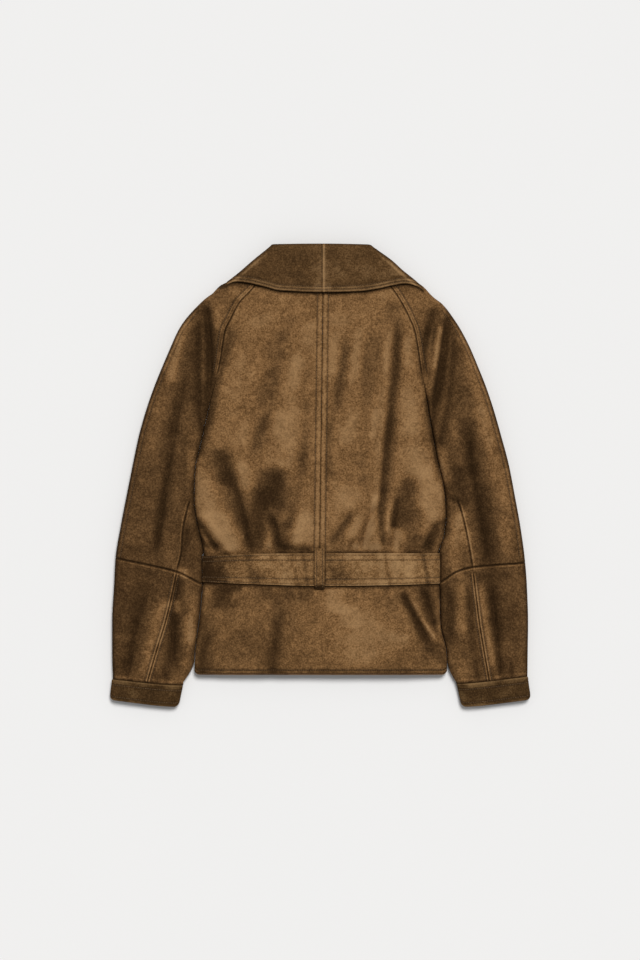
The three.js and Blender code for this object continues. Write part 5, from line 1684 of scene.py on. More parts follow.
@dataclass
class Torso:
    """The backs, the back skirt, the fronts and the front skirts.

    The hem is turned up: a padded band with dents under its two rows of thread, painted lighter at its lip
    and between the rows as worn nap and highlight, painted darker in its rows' dents, and darker down to the
    band's upper edge.
    """

    column_step: float = 1.7
    row_step: float = 2.7
    waist_step: float = 2.0
    skirt_step: float = 2.6
    front_step: float = 3.2
    skirt_length: float = 150.0
    pucker_y: float = -60.0
    hem_rows: tuple[float, ...] = (1.9, 6.8)
    front_rows: tuple[float, ...] = (3.0, 8.0)
    hem_band: tuple[float, float] = (0.5, 11.0)
    hem_lip: tuple[float, float] = (0.7, 1.0)
    hem_shapes: Bells = ((-0.5, 12.0, 2.2), (-0.45, 1.9, 0.9), (-0.45, 6.8, 0.9))
    hem_shades: Bells = ((0.35, 0.6, 0.9), (0.2, 4.3, 1.3), (-0.7, 1.9, 0.8), (-0.7, 6.8, 0.8))
    hem_darkening: float = 0.4
    hem_darkening_fade: tuple[float, float] = (6.0, 13.0)
    back_reach: tuple[float, float] = (-178.0, 179.0)
    front_reach: float = 174.0

    def back(self, side: Side) -> Panel:
        """One half of the back, from the neck to the waist seam under the belt."""
        return Panel(
            start=side.torso, end=lambda y: centre_back(y) + side.sign * HALF_GAP,
            near_start=quarter_round(TORSO_ROLL), near_end=CUT_EDGE, step=self.column_step,
            levels=np.concatenate([
                graded(NECK_Y, self.pucker_y, self.row_step, NO_EDGE, NO_EDGE)[:-1],
                graded(self.pucker_y, WAIST_Y + HALF_GAP, self.waist_step, NO_EDGE, NO_EDGE)]),
            row=level_row, sheet=Sheet.joined(torso_top, DRAPE.nap_of(BACK), Facing.UP, TORSO_SEAM_Z))

    def hem_relief(self, x: Array, y: Array) -> Array:
        """The height that the turned-up hem adds."""
        up = y - hem_line(x)
        height, length = self.hem_band
        depth, radius = self.hem_lip
        return height * wave(up, length) - depth * (1.0 - rolled(up, radius)) + bells(up, self.hem_shapes)

    def skirt_nap(self, cloth: Place) -> Height:
        """The shade of a skirt's nap with the hem's."""
        def nap(x: Array, y: Array) -> Array:
            """The cloth's shade, the hem's bells of painted light and shade, and its darkening."""
            up = y - hem_line(x)
            hem = bells(up, self.hem_shades) - self.hem_darkening * (1.0 - ease(up, *self.hem_darkening_fade))
            return np.clip(DRAPE.nap(x, y, cloth) + hem, -1, 1)
        return nap

    def skirt_top(self, x: Array, y: Array) -> Array:
        """The back skirt's height: the back's with the hem's relief."""
        return torso_top(x, y) + self.hem_relief(x, y) * torso_roll(x, y, TORSO_ROLL)

    def skirt_levels(self, step: float) -> Array:
        """The parts of the way from the waist seam to the hem."""
        return graded(0.0, 1.0, step / self.skirt_length, NO_EDGE, CUT_EDGE / self.skirt_length)

    def skirt_back(self) -> Panel:
        """The back skirt, in one piece from the waist seam to the hem."""
        return Panel(
            start=LEFT.torso, end=RIGHT.torso, near_start=quarter_round(TORSO_ROLL),
            near_end=quarter_round(TORSO_ROLL), step=self.column_step,
            levels=self.skirt_levels(self.skirt_step), row=between(level_at(WAIST_Y - HALF_GAP), hem_line),
            sheet=Sheet.joined(self.skirt_top, self.skirt_nap(BACK), Facing.UP, TORSO_SEAM_Z))

    def front(self, side: Side, levels: Array, row: Height, nap: Height) -> Panel:
        """One front or front skirt, face down.

        Args:
            side: the side of the jacket.
            levels: the levels of its rows.
            row: its rows' y at each x and level.
            nap: the shade of its nap.

        Returns:
            The panel.
        """
        return Panel(
            start=side.torso, end=side.front, near_start=quarter_round(FLOOR_ROLL), near_end=CUT_EDGE,
            step=self.front_step, levels=levels, row=row,
            sheet=Sheet.joined(front_face(side), nap, Facing.DOWN, TORSO_SEAM_Z))

    def build(self, palette: Palette, stitching: Stitching) -> None:
        """Builds the panels and sews the centre back, the hem and the front edges."""
        front_levels = graded(NECK_Y, WAIST_Y + HALF_GAP, self.front_step, NO_EDGE, NO_EDGE)
        for side in SIDES:
            panels = {
                "back": self.back(side),
                "front": self.front(side, front_levels, level_row, DRAPE.nap_of(FRONT)),
                "skirt_front": self.front(
                    side, self.skirt_levels(self.front_step),
                    between(level_at(WAIST_Y - HALF_GAP), hem_line), self.skirt_nap(FRONT)),
            }
            for kind, panel in panels.items():
                place_panel(f"{kind}_{side.name}", panel, palette.body, "body")
        place_panel("skirt_back", self.skirt_back(), palette.body, "body")
        for row in CENTRE_BACK.rows:
            stitching.sew_on(torso_top, *CENTRE_BACK.path(row))
        stitching.build("stitches_centre_back", palette, "body")
        x = np.arange(*self.back_reach, 1.0)
        for row in self.hem_rows:
            stitching.sew_on(self.skirt_top, x, hem_line(x) + row)
        stitching.build("stitches_hem", palette, "body")
        for side in SIDES:
            start = FRONT_LAP + 10.0 if side is RIGHT else 0.0
            x = side.sign * np.arange(start, self.front_reach, 1.0)
            for row in self.hem_rows:
                stitching.sew_on(front_face(side), x, hem_line(x) + row, Facing.DOWN)
        y = np.arange(HEM_Y + 3.0, LAP_TOP_Y + 16.0, 1.0)
        for row in self.front_rows:
            stitching.sew_on(front_face(LEFT), LEFT.front(y) - row, y, Facing.DOWN)
        stitching.build("stitches_fronts", palette, "body")


@dataclass
class Sleeve:
    """One raglan sleeve: its upper arm, the wedge under it, and the forearm's three pieces."""

    side: Side
    column_step: float = 1.8
    row_step: float = 2.7
    under_step: float = 3.2
    under_start: dict[str, float] = field(default_factory=lambda: {"left": 0.17, "right": 0.04})
    forearm_length: float = 160.0

    def sheet(self, facing: Facing) -> Sheet:
        """The sleeve's upper sheet, or the one that lies on the floor."""
        up = facing is Facing.UP
        return Sheet.joined(sleeve_top(self.side) if up else sleeve_face(self.side),
                            DRAPE.nap_of(SLEEVE if up else UNDER_SLEEVE), facing, SLEEVE_SEAM_Z)

    def above_elbow(self, x: Array) -> Array:
        """The upper arm's edge at the elbow seam."""
        return self.side.elbow(x) + HALF_GAP

    def slanting(self, x: Array, level: Array) -> Array:
        """Level rows that lean more and more towards the elbow seam's line."""
        part = (SLANT_START_Y - level) / (SLANT_START_Y - ELBOW_LEVEL_Y)
        return np.where(level >= SLANT_START_Y, level + 0.0 * x,
                        mix(SLANT_START_Y, self.above_elbow(x), part))

    def back(self) -> Panel:
        """The upper arm's back, from the neck along the raglan seam to the elbow."""
        side = self.side
        def inner_edge(y: Array) -> Array:
            """The raglan seam and the inside of the arm, then the hind-arm seam."""
            return np.where(side.hind_shows(y), side.hind(y) + side.sign * HALF_GAP, side.inner(y))
        return Panel(
            start=side.outer, end=inner_edge, near_start=quarter_round(SLEEVE_ROLL), near_end=CUT_EDGE,
            step=self.column_step, levels=graded(NECK_Y, ELBOW_LEVEL_Y, self.row_step, NO_EDGE),
            row=self.slanting, sheet=self.sheet(Facing.UP))

    def under(self) -> Panel:
        """The wedge between the hind-arm seam and the inside of the arm."""
        side = self.side
        first = mix(SLANT_START_Y, ELBOW_LEVEL_Y, self.under_start[side.name])
        return Panel(
            start=lambda y: side.hind(y) - side.sign * HALF_GAP, end=side.inner,
            near_start=NO_EDGE, near_end=quarter_round(INNER_ROLL), step=self.column_step,
            levels=graded(first, ELBOW_LEVEL_Y, self.row_step, NO_EDGE), row=self.slanting,
            sheet=self.sheet(Facing.UP))

    def front(self) -> Panel:
        """The upper arm's front, face down."""
        return Panel(
            start=self.side.outer, end=self.side.inner, near_start=quarter_round(FLOOR_ROLL, 9),
            near_end=quarter_round(FLOOR_ROLL, 9), step=self.under_step,
            levels=graded(NECK_Y, ELBOW_LEVEL_Y, self.under_step, NO_EDGE), row=self.slanting,
            sheet=self.sheet(Facing.DOWN))

    def forearm(self, start: Edge, end: Edge, near: tuple[Array, Array], facing: Facing) -> Panel:
        """One of the forearm's pieces, between the elbow seam and the cuff.

        Args:
            start: its outer side edge.
            end: its inner side edge.
            near: the columns near each of them.
            facing: the way that it looks.

        Returns:
            The panel.
        """
        up = facing is Facing.UP
        row_step, column_step = (self.row_step, self.column_step) if up else (self.under_step,) * 2
        by_seam = CUT_EDGE / self.forearm_length
        return Panel(
            start=start, end=end, near_start=near[0], near_end=near[1], step=column_step,
            levels=graded(0.0, 1.0, row_step / self.forearm_length, by_seam, by_seam),
            row=between(lambda x: self.side.elbow(x) - HALF_GAP, lambda x: cuff_top(x) + HALF_GAP),
            sheet=self.sheet(facing))

    def build(self, palette: Palette, stitching: Stitching) -> None:
        """Builds the sleeve's pieces and sews its raglan, overarm and forearm seams."""
        side = self.side
        seam = HALF_GAP * side.sign
        folded = quarter_round(FLOOR_ROLL, 9)
        pieces = {
            "sleeve_back": self.back(), "sleeve_under": self.under(), "sleeve_front": self.front(),
            "forearm_outer": self.forearm(side.outer, lambda y: side.hind(y) + seam,
                                          (quarter_round(SLEEVE_ROLL), CUT_EDGE), Facing.UP),
            "forearm_inner": self.forearm(lambda y: side.hind(y) - seam, side.inner,
                                          (CUT_EDGE, quarter_round(INNER_ROLL)), Facing.UP),
            "forearm_front": self.forearm(side.outer, side.inner, (folded, folded), Facing.DOWN),
        }
        for kind, panel in pieces.items():
            place_panel(f"{kind}_{side.name}", panel, palette.body, "body")
        for seam_line in arm_seams(side):
            for row in seam_line.rows:
                stitching.sew_on(sleeve_top(side), *seam_line.path(row))
        stitching.build(f"stitches_sleeve_{side.name}", palette, "body")


@dataclass
class Cuff:
    """One cuff: a band all round the end of the sleeve, with a row of thread by each edge."""

    side: Side
    height: float = 13.6
    middle_y: float = -315.0
    length: float = 31.0
    width: float = 105.0
    round_edge: float = 1.0
    edge_steps: tuple[float, ...] = (0, 0.15, 0.4, 0.8, 1.3)
    step: float = 1.4
    columns: int = 44
    rows_down: tuple[float, ...] = (0.25, 0.82)
    waves: tuple[Unevenness, Unevenness] = (Unevenness(21, 15.0, 0.5), Unevenness(22, 6.0, 0.18))
    mottle: Unevenness = Unevenness(23, 14.0, 0.3)

    def ring(self) -> tuple[Array, Array]:
        """The places round the band: the part of the way across, and +1 above or -1 below."""
        near = quarter_round(SLEEVE_ROLL, 12) / self.width
        middle = np.linspace(near[-1], 1 - near[-1], self.columns)[1:-1]
        across = np.concatenate([near, middle, (1 - near)[::-1]])
        return (np.concatenate([across, across[1:-1][::-1]]),
                np.concatenate([np.ones(len(across)), -np.ones(len(across) - 2)]))

    def skin(self, down: Array) -> tuple[Array, Array]:
        """The band's outer skin, and the way out of it at each point.

        Its x is a part of the way between its two side edges and its y a part of the way from its top to
        its foot; its z is mixed from the rim's height to the crown or the floor by the product of both
        sides' rolls.

        Args:
            down: the parts of the way down, one for each ring.

        Returns:
            Grids of the points and of the unit vectors that point out.
        """
        side = self.side
        part, facing = self.ring()
        part, facing, down = part[None, :], facing[None, :], down[:, None]
        y = self.middle_y + 0.0 * (part + down)
        x = y
        for _ in range(8):
            x = mix(side.cuff_outer(y), side.cuff_inner(y), part)
            near = np.minimum(np.abs(x - side.cuff_outer(y)), np.abs(x - side.cuff_inner(y)))
            foot = cuff_foot(x) + CUFF_CORNER_ROUND * (1.0 - rolled(near, CUFF_CORNER_ROUND))
            y = mix(cuff_top(x) - HALF_GAP, foot, down)
        width = np.abs(side.cuff_outer(y) - side.cuff_inner(y))
        radius = np.where(facing > 0, SLEEVE_ROLL, FLOOR_ROLL)
        roll = rolled(part * width, radius) * rolled((1.0 - part) * width, radius)
        long, short = self.waves
        crest = np.where(facing > 0, self.height + long(x, y * 0.5) + short(x, y), 0.0)
        grid = np.stack([x, y, mix(SLEEVE_SEAM_Z, crest, roll)], axis=2)
        way = np.roll(grid, -1, axis=1) - np.roll(grid, 1, axis=1)
        out = np.stack([-way[..., 2], np.zeros_like(x), way[..., 0]], axis=2) * -side.sign
        return grid, out / np.maximum(np.linalg.norm(out, axis=2, keepdims=True), 1e-9)

    def build(self, palette: Palette, stitching: Stitching) -> None:
        """Builds the band, rounded at both edges, and sews its rows."""
        ends = np.array(self.edge_steps) / self.length
        down = graded(0.0, 1.0, self.step / self.length, ends, ends)
        grid, out = self.skin(down)
        below = down[:, None] * self.length
        edge = np.minimum(down, 1.0 - down)[:, None] * self.length
        sunk = self.round_edge * (1.0 - rolled(edge, self.round_edge))
        rows = [row * self.length for row in self.rows_down]
        raised = bells(below, ((0.35, 0.1 * self.length, 2.6), *((-0.3, row, 0.9) for row in rows)))
        outer = grid + out * (np.where(grid[..., 2] > SLEEVE_SEAM_Z, raised, 0.0) - sunk)[..., None]
        inner = grid - out * (CUFF_CLOTH - sunk)[..., None]
        # Painted highlight along both edges and over the band's top, painted shade in the rows' dents, and a
        # mottle
        shade = 0.3 * bell(edge - 0.8, 1.0) + bells(below, [(-0.8, row, 1.0) for row in rows])
        shade = shade + 0.15 * (1.0 - ease(below, 5.0, 7.6))
        nap = np.clip(shade + self.mottle(grid[..., 0], grid[..., 1]), -1, 1)
        name = f"cuff_{self.side.name}"
        piece = close_wall(name, outer, inner, nap, closed=True)
        SewnPiece.dress(piece, palette.cuff, "cuff")
        SewnPiece.cloth(piece, name, ("floor",), lap=0.0)
        for row in self.rows_down:
            path, up = self.skin(np.array([row]))
            loop = np.concatenate([path[0], path[0][:1]])
            stitching.sew(loop, np.concatenate([up[0], up[0][:1]]))
        stitching.build(f"stitches_cuff_{self.side.name}", palette, "cuff")
        log.info("%s: %d faces", name, len(piece.data.polygons))


@dataclass
class Collar:
    """The collar's two leaves over the back, its stand inside the fold, and the lapels below."""

    neck_rim: float = 18.0
    turn: tuple[float, float] = (66.0, 100.0)
    neck_roll: float = 9.0
    crest: tuple[float, float] = (24.2, 21.2)
    crest_span: tuple[float, float] = (55.0, 140.0)
    edge_swell: float = 0.9
    swell_fade: tuple[float, float] = (8.0, 30.0)
    edge_drop: float = 0.2
    drop_fade: tuple[float, float] = (0.0, 14.0)
    edge_band: tuple[float, float] = (0.35, 12.0)
    leaf_gap: float = 0.06
    edge_round: float = 1.3
    edge_rows: tuple[float, ...] = (3.8, 8.2)
    bar_middle: float = 3.2
    bar_half: float = 12.5
    bar_span: Span = (1.6, 2.6, 12.2, 13.4)
    bar_rows: tuple[float, ...] = (3.4, 6.2, 9.0, 11.6)
    bar_rise: float = 0.55
    edge_reach: tuple[float, float] = (-124.0, 138.0)
    seam_reach: tuple[float, float] = (279.0, 331.0)
    seam_rows: tuple[float, ...] = (-1.9, 1.9)
    lapel_reach: tuple[float, float] = (BREAK_Y + 14.0, 256.0)
    column_step: float = 1.7
    row_step: float = 1.8
    leaf_depth: float = 66.0
    lapel_rows: tuple[float, ...] = (4.0, 8.4)
    stand_span: tuple[float, float] = (-60.0, 64.0)
    stand_depth: float = 33.0
    # Relief, and painted light and shade, by the distance from the free edge, the centre seam, the outline
    # and a lapel's edge
    edge_shapes: Bells = ((-0.3, 3.8, 0.8), (-0.3, 8.2, 0.8))
    seam_shapes: Bells = ((0.6, 0.8, 2.2), (-0.4, -1.2, 0.7))
    edge_shades: Bells = (
        (0.5, 1.9, 1.2), (0.3, 6.0, 1.5), (-0.3, 10.5, 2.0), (-0.6, 3.8, 0.8), (-0.6, 8.2, 0.8))
    seam_shades: Bells = ((0.85, 0.9, 1.5), (-0.5, -1.9, 1.0))
    lapel_shades: Bells = ((0.4, 1.0, 1.5), (-0.25, 4.0, 0.9), (-0.25, 8.4, 0.9))
    # Soft patches of painted light and shade: middle x and y, half width and half height, and shade
    clouds: tuple[tuple[float, float, float, float, float], ...] = (
        (-50, 318, 28, 13, -0.25), (64, 320, 26, 13, -0.25), (-26, 284, 17, 14, -0.35), (2, 308, 9, 26, 0.3),
        (30, 296, 22, 10, 0.15), (-78, 290, 20, 8, -0.15), (104, 290, 20, 10, 0.12))

    def turned(self, x: Array) -> Array:
        """0 at the back neck and 1 on the slanted sides."""
        return ease(np.abs(x), *self.turn)

    def rim(self, x: Array) -> Array:
        """The height at which the collar's outline meets the stand or the lapels."""
        return mix(self.neck_rim, COLLAR_SEAM_Z, self.turned(x))

    def up_from_edge(self, x: Array, y: Array) -> Array:
        """The distance up from the collar's free edge, square to it."""
        return (y - collar_edge(x)) / stretch(collar_edge, x)

    def bar(self, x: Array, up: Array) -> Array:
        """1 on the small sewn bar at the middle of the free edge."""
        across = ease(np.abs(x - self.bar_middle), self.bar_half + 0.7, self.bar_half - 0.7)
        return across * span(up, self.bar_span)

    def seam_distance(self, x: Array, y: Array) -> Array:
        """The distance from the collar's centre back seam."""
        return x - COLLAR_SEAM_X + 0.0 * y

    def top(self, x: Array, y: Array) -> Array:
        """The height of the collar over the back.

        A crest with a swell by its free edge, which then drops and rounds off, mixed with the rim's height
        by the roll at its outline. Rows of thread dent it, and the centre seam parts two small ridges.

        Args:
            x: each point's x.
            y: each point's y.

        Returns:
            The height.
        """
        inwards = y - collar_edge(x)
        crest = mix(*self.crest, ease(np.abs(x), *self.crest_span))
        crest = crest + self.edge_swell * (1.0 - ease(inwards, *self.swell_fade))
        crest = crest - self.edge_drop * (1.0 - ease(inwards, *self.drop_fade))
        up = self.up_from_edge(x, y)
        height, length = self.edge_band
        crest = crest - self.edge_round * (1.0 - rolled(up, self.edge_round)) + height * wave(up, length)
        crest = crest + bells(up, self.edge_shapes) + bells(self.seam_distance(x, y), self.seam_shapes)
        crest = crest + self.bar_rise * self.bar(x, up) * (0.7 + 0.3 * np.cos(up * 2.2))
        crest = crest + Unevenness(31, 30.0, 0.4)(x, y) + Unevenness(32, 11.0, 0.2)(x, y)
        roll = rolled(from_collar_top(x, y), mix(self.neck_roll, COLLAR_ROLL, self.turned(x)))
        return mix(self.rim(x) + HALF_GAP, crest, roll)

    def shade(self, x: Array, y: Array) -> Array:
        """The collar's painted light and shade: lighter along its free edge, its seam, the bar and inside its
        turned outline, darker at its rows, beside its seam and at its outline, with soft painted patches and
        a mottle.
        """
        up, outline = self.up_from_edge(x, y), from_collar_top(x, y)
        shade = bells(up, self.edge_shades) + bells(self.seam_distance(x, y), self.seam_shades)
        shade = shade + 0.45 * self.bar(x, up)
        shade = shade + 0.6 * self.turned(x) * bell(outline - 6.0, 2.2) - 0.6 * bell(outline, 2.0)
        for middle, level, wide, high, strength in self.clouds:
            shade = shade + strength * bell(np.hypot((x - middle) / wide, (y - level) / high), 1.0)
        shade = shade + Unevenness(33, 26.0, 0.16)(x, y) + Unevenness(34, 9.0, 0.14)(x, y)
        return np.clip(shade, -1.0, 1.0)

    def leaf(self, side: Side, palette: Palette) -> Piece:
        """One leaf, a grid with its columns across and its rows from the free edge to the outline."""
        seam = COLLAR_SEAM_X + side.sign * self.leaf_gap / 2
        reach = abs(side.collar_end - seam)
        x = seam + side.sign * graded(0.0, reach, self.column_step, CUT_EDGE, NO_EDGE)
        part = graded(0.0, 1.0, self.row_step / self.leaf_depth, CUT_EDGE / self.leaf_depth,
                      quarter_round(COLLAR_ROLL) / self.leaf_depth)
        x, part = np.meshgrid(x, part)
        y = mix(collar_edge(x), collar_top(x), part)
        outer = np.stack([x, y, self.top(x, y)], axis=2)
        normal = grid_normals(outer)
        normal = normal if np.sum(normal[..., 2]) > 0 else -normal
        sunk = self.edge_round * (1.0 - rolled(self.up_from_edge(x, y), self.edge_round))
        inner = outer - normal * COLLAR_CLOTH
        inner[..., 2] = np.maximum(inner[..., 2] + 2.0 * sunk * 0.6, self.rim(x) + HALF_GAP)
        inner[..., 2] = np.minimum(inner[..., 2], outer[..., 2] - 0.05 * (part < 0.999))
        inner[:, 0, 0] = seam
        name = f"collar_{side.name}"
        piece = close_wall(name, outer, inner, self.shade(x, y))
        SewnPiece.dress(piece, palette.collar, "collar")
        SewnPiece.cloth(piece, name, (f"back_{side.name}",))
        return piece

    def stand_face(self, x: Array, y: Array) -> Array:
        """The stand's height: level inside the fold, rolled up to the collar's outline."""
        stripe = Unevenness(35, 20.0, 0.25)(x, y)
        return mix(self.neck_rim - HALF_GAP, STAND_Z + stripe, rolled(collar_top(x) - y, 6.0))

    def stand(self) -> Panel:
        """The stand inside the collar's fold, face down."""
        left, right = self.stand_span
        rows = graded(0.0, 1.0, 2.4 / self.stand_depth, NO_EDGE, quarter_round(6.0, 8) / self.stand_depth)
        return Panel(
            start=level_at(left), end=level_at(right), near_start=NO_EDGE, near_end=NO_EDGE, step=3.0,
            levels=rows, row=between(level_at(NECK_Y + SEAM_GAP), collar_top),
            sheet=Sheet.joined(self.stand_face, Unevenness(36, 18.0, 0.3), Facing.DOWN, self.neck_rim))

    def lapel_face(self, x: Array, y: Array) -> Array:
        """The lapel's height: on the floor, rolled up to the collar's outline."""
        raised = np.maximum(Unevenness(37, 34.0, 0.5)(x, y), 0.0)
        roll = rolled(np.maximum(from_collar_top(x, y), 0.0), LAPEL_ROLL)
        return mix(COLLAR_SEAM_Z - HALF_GAP, raised, roll)

    def lapel_shade(self, side: Side) -> Height:
        """The shade of a lapel's nap: lighter along its front edge, as worn nap and painted highlight, and
        painted darker at its rows.
        """
        def shade(x: Array, y: Array) -> Array:
            """Bells at distances from the lapel's outer edge."""
            wear_and_painted_light = bells(side.sign * (side.lapel(y) - x), self.lapel_shades)
            return np.clip(wear_and_painted_light + Unevenness(38, 22.0, 0.3)(x, y), -1.0, 1.0)
        return shade

    def lapel(self, side: Side) -> Panel:
        """One lapel, face down."""
        return Panel(
            start=side.lapel, end=side.front, near_start=CUT_EDGE, near_end=CUT_EDGE, step=3.0,
            levels=graded(LAPEL_TOP_Y, BREAK_Y, 2.6, NO_EDGE, NO_EDGE), row=level_row,
            sheet=Sheet.joined(self.lapel_face, self.lapel_shade(side), Facing.DOWN, COLLAR_SEAM_Z))

    def build(self, palette: Palette, stitching: Stitching) -> None:
        """Builds the collar and sews its free edge, its centre seam, its bar and the lapels' edges."""
        for side in SIDES:
            log.info("collar_%s: %d faces", side.name, len(self.leaf(side, palette).data.polygons))
            place_panel(f"lapel_{side.name}", self.lapel(side), palette.collar, "collar")
        place_panel("collar_stand", self.stand(), palette.collar, "collar", ("back_left", "back_right"))
        x = np.arange(*self.edge_reach, 1.0)
        for row in self.edge_rows:
            stitching.sew_on(self.top, x, collar_edge(x) + row * stretch(collar_edge, x))
        y = np.arange(*self.seam_reach, 1.0)
        for row in self.seam_rows:
            stitching.sew_on(self.top, COLLAR_SEAM_X + row + 0.0 * y, y)
        bar = np.arange(self.bar_middle - self.bar_half, self.bar_middle + self.bar_half, 0.5)
        for row in self.bar_rows:
            stitching.sew_on(self.top, bar, collar_edge(bar) + row)
        stitching.build("stitches_collar", palette, "collar")
        y = np.arange(*self.lapel_reach, 1.0)
        for side in SIDES:
            for row in self.lapel_rows:
                stitching.sew_on(self.lapel_face, side.lapel(y) - side.sign * row * 1.25, y, Facing.DOWN)
        stitching.build("stitches_lapels", palette, "collar")


@dataclass
class Belt:
    """The belt, one strip laid round the waist with lapped ends, and the loop that holds it."""

    left: float = -172.15
    right: float = 174.05
    face: float = float(loft_middle(np.array(WAIST_Y))) + BELT_EASE + BELT_CLOTH
    step: float = 1.9
    width: float = 45.0
    edge_round: float = 1.0
    edge_steps: tuple[float, ...] = (0, 0.12, 0.3, 0.6, 1.0, 2.0)
    rows: tuple[float, ...] = (9.2, 2.2)
    edge_shapes: Bells = ((-0.45, 9.2, 0.9), (-0.45, 2.2, 0.9))
    # Painted highlight at the edges and on a band in from them, and painted shade at the rows: shade,
    # distance from the edge and half width
    edge_shades: Bells = ((0.4, 0.6, 0.9), (0.15, 5.6, 2.2), (-0.7, 9.2, 0.8), (-0.35, 2.2, 0.7))
    roll_ease: float = 3.0
    # Where its level stretches end, 2 to 3 mm before the turns: lower and upper left, upper and lower right
    flats: tuple[float, float, float, float] = (-156.0, -151.0, 153.0, 158.0)
    loop_left: float = -8.6
    loop_right: float = 5.8
    loop_top: float = -106.5
    loop_foot: float = -165.8
    loop_row: float = 2.6
    loop_shapes: Bells = ((-0.28, 2.6, 0.7), (0.2, 5.0, 2.0))
    # Painted highlight along the loop's edges and painted shade at its rows: shade, distance from the edge
    # and half width
    loop_shades: Bells = ((0.3, 0.6, 0.9), (-0.5, 2.6, 0.6))
    # Painted light and shade in bands across the belt, for creases that its shape doesn't have and its darker
    # left end: x, shade and half width
    creases: tuple[tuple[float, float, float], ...] = (
        (-160, -1.2, 15), (-140, -0.5, 9), (-124, -0.3, 12), (-112, 0.2, 6), (-98, -0.5, 9),
        (-52, 0.25, 10), (-37, -0.4, 4), (-22, -0.5, 3), (18, -0.45, 7), (32, -0.4, 6), (52, 0.15, 6),
        (70, 0.3, 9), (90, 0.45, 9), (97, -0.4, 2.5), (108, 0.35, 8), (128, 0.3, 10), (153, -0.8, 3.4),
        (163, -0.15, 5))

    def turn(self, edge: float, sign: int, radius: float, height: float) -> Array:
        """The path from the side edge in over or under the torso: a quarter round in x and z."""
        distance = quarter_round(radius, 12)
        return np.stack([edge - sign * distance,
                         mix(TORSO_SEAM_Z, height, rolled(distance, radius))], axis=1)

    def flat(self, start: float, end: float, z: float) -> Array:
        """A level stretch of the path."""
        count = int(abs(end - start) / self.step)
        x = np.linspace(start, end, count + 1)
        return np.stack([x, np.full_like(x, z)], axis=1)

    def path(self) -> Array:
        """The path of the belt's outer skin, from its outer end under the front to its inner end."""
        top = self.face
        upper, lower = TORSO_ROLL + self.roll_ease, FLOOR_ROLL + self.roll_ease
        low_left, high_left, high_right, low_right = self.flats
        return np.concatenate([
            self.flat(BELT_END_X, low_left, 0.0), self.turn(self.left, -1, lower, 0.0)[::-1],
            self.turn(self.left, -1, upper, top)[1:], self.flat(high_left, high_right, top),
            self.turn(self.right, 1, upper, top)[::-1], self.turn(self.right, 1, lower, 0.0)[1:],
            self.flat(low_right, BELT_END_X + 22, 0.0),
            self.flat(BELT_END_X + 8, -BELT_END_X, BELT_LIFT)])

    def from_loop(self, x: Array) -> Array:
        """The distance from the loop's middle."""
        return np.abs(x - (self.loop_left + self.loop_right) / 2)

    def grid(self, across: Array) -> tuple[Array, Array]:
        """Points at parts of the way across the belt, and the way out of it there.

        Args:
            across: the parts of the way from the belt's top edge to its foot.

        Returns:
            Grids with a row for each part and a column for each point of the path.
        """
        path = self.path()
        way = np.gradient(path, axis=0)
        way = way / np.linalg.norm(way, axis=1, keepdims=True)
        x, z = path[:, 0], path[:, 1]
        y = mix(belt_top(x)[None, :], belt_foot(x)[None, :], across[:, None])
        on_back = ease(z, TORSO_SEAM_Z + 2.0, self.face - 1.0)[None, :]
        free = ease(self.from_loop(x), 7.0, 16.0)[None, :]
        uneven = Unevenness(41, 26.0, 0.35)(x[None, :] + 0.0 * y, y * 0.5) * on_back * free
        grid = np.stack([x + 0.0 * y, y, z + uneven], axis=2)
        out = np.stack([-way[:, 1], np.zeros_like(x), way[:, 0]], axis=1)[None] + 0.0 * grid
        return grid, out

    def build(self, palette: Palette, stitching: Stitching) -> None:
        """Builds the belt and its loop, and sews a row by each edge."""
        ends = np.array(self.edge_steps) / self.width
        across = graded(0.0, 1.0, 1.5 / self.width, ends, ends)
        grid, out = self.grid(across)
        edge = np.minimum(across, 1.0 - across)[:, None] * self.width
        sunk = self.edge_round * (1.0 - rolled(edge, self.edge_round))
        outer = grid + out * (bells(edge, self.edge_shapes) - sunk)[..., None]
        inner = grid - out * (BELT_CLOTH - sunk)[..., None]
        x, y = grid[..., 0], grid[..., 1]
        shade = bells(edge, self.edge_shades)
        shade = shade + Unevenness(42, 15.0, 0.28)(x, y) + Unevenness(43, 5.0, 0.22)(x, y)
        across_belt = x + 0.16 * (y - WAIST_Y)
        for place, strength, width in self.creases:
            shade = shade + strength * bell(across_belt - place, width) * (grid[..., 2] > TORSO_SEAM_Z)
        # Painted shadow of the loop on the belt beside it
        shade = shade - 0.9 * bell(self.from_loop(x) - 7.6, 1.8)
        piece = close_wall("belt", outer, inner, np.clip(shade, -1.0, 1.0))
        SewnPiece.dress(piece, palette.belt, "belt")
        SewnPiece.cloth(piece, "belt", ("back_left", "back_right"), lap=2.0 * BELT_END_X)
        log.info("belt: %d faces", len(piece.data.polygons))
        for row in self.rows:
            for path, up in zip(*self.grid(np.array([row, self.width - row]) / self.width)):
                shown = path[:, 2] > 0.5
                stitching.sew(path[shown], up[shown])
                front = ~shown & (path[:, 0] < BELT_END_X + 1) & (path[:, 0] > -157)
                stitching.sew(path[front] - up[front] * 0.1, up[front])
        stitching.build("stitches_belt", palette, "belt")
        place_panel("belt_loop", self.loop(), palette.belt, "belt", ("belt",))
        y = np.arange(self.loop_foot + 2.5, self.loop_top - 2.0, 0.7)
        for x_row in (self.loop_left + self.loop_row, self.loop_right - self.loop_row):
            stitching.sew_on(self.loop_top_face, x_row + 0.0 * y, y)
        stitching.build("stitches_belt_loop", palette, "belt")

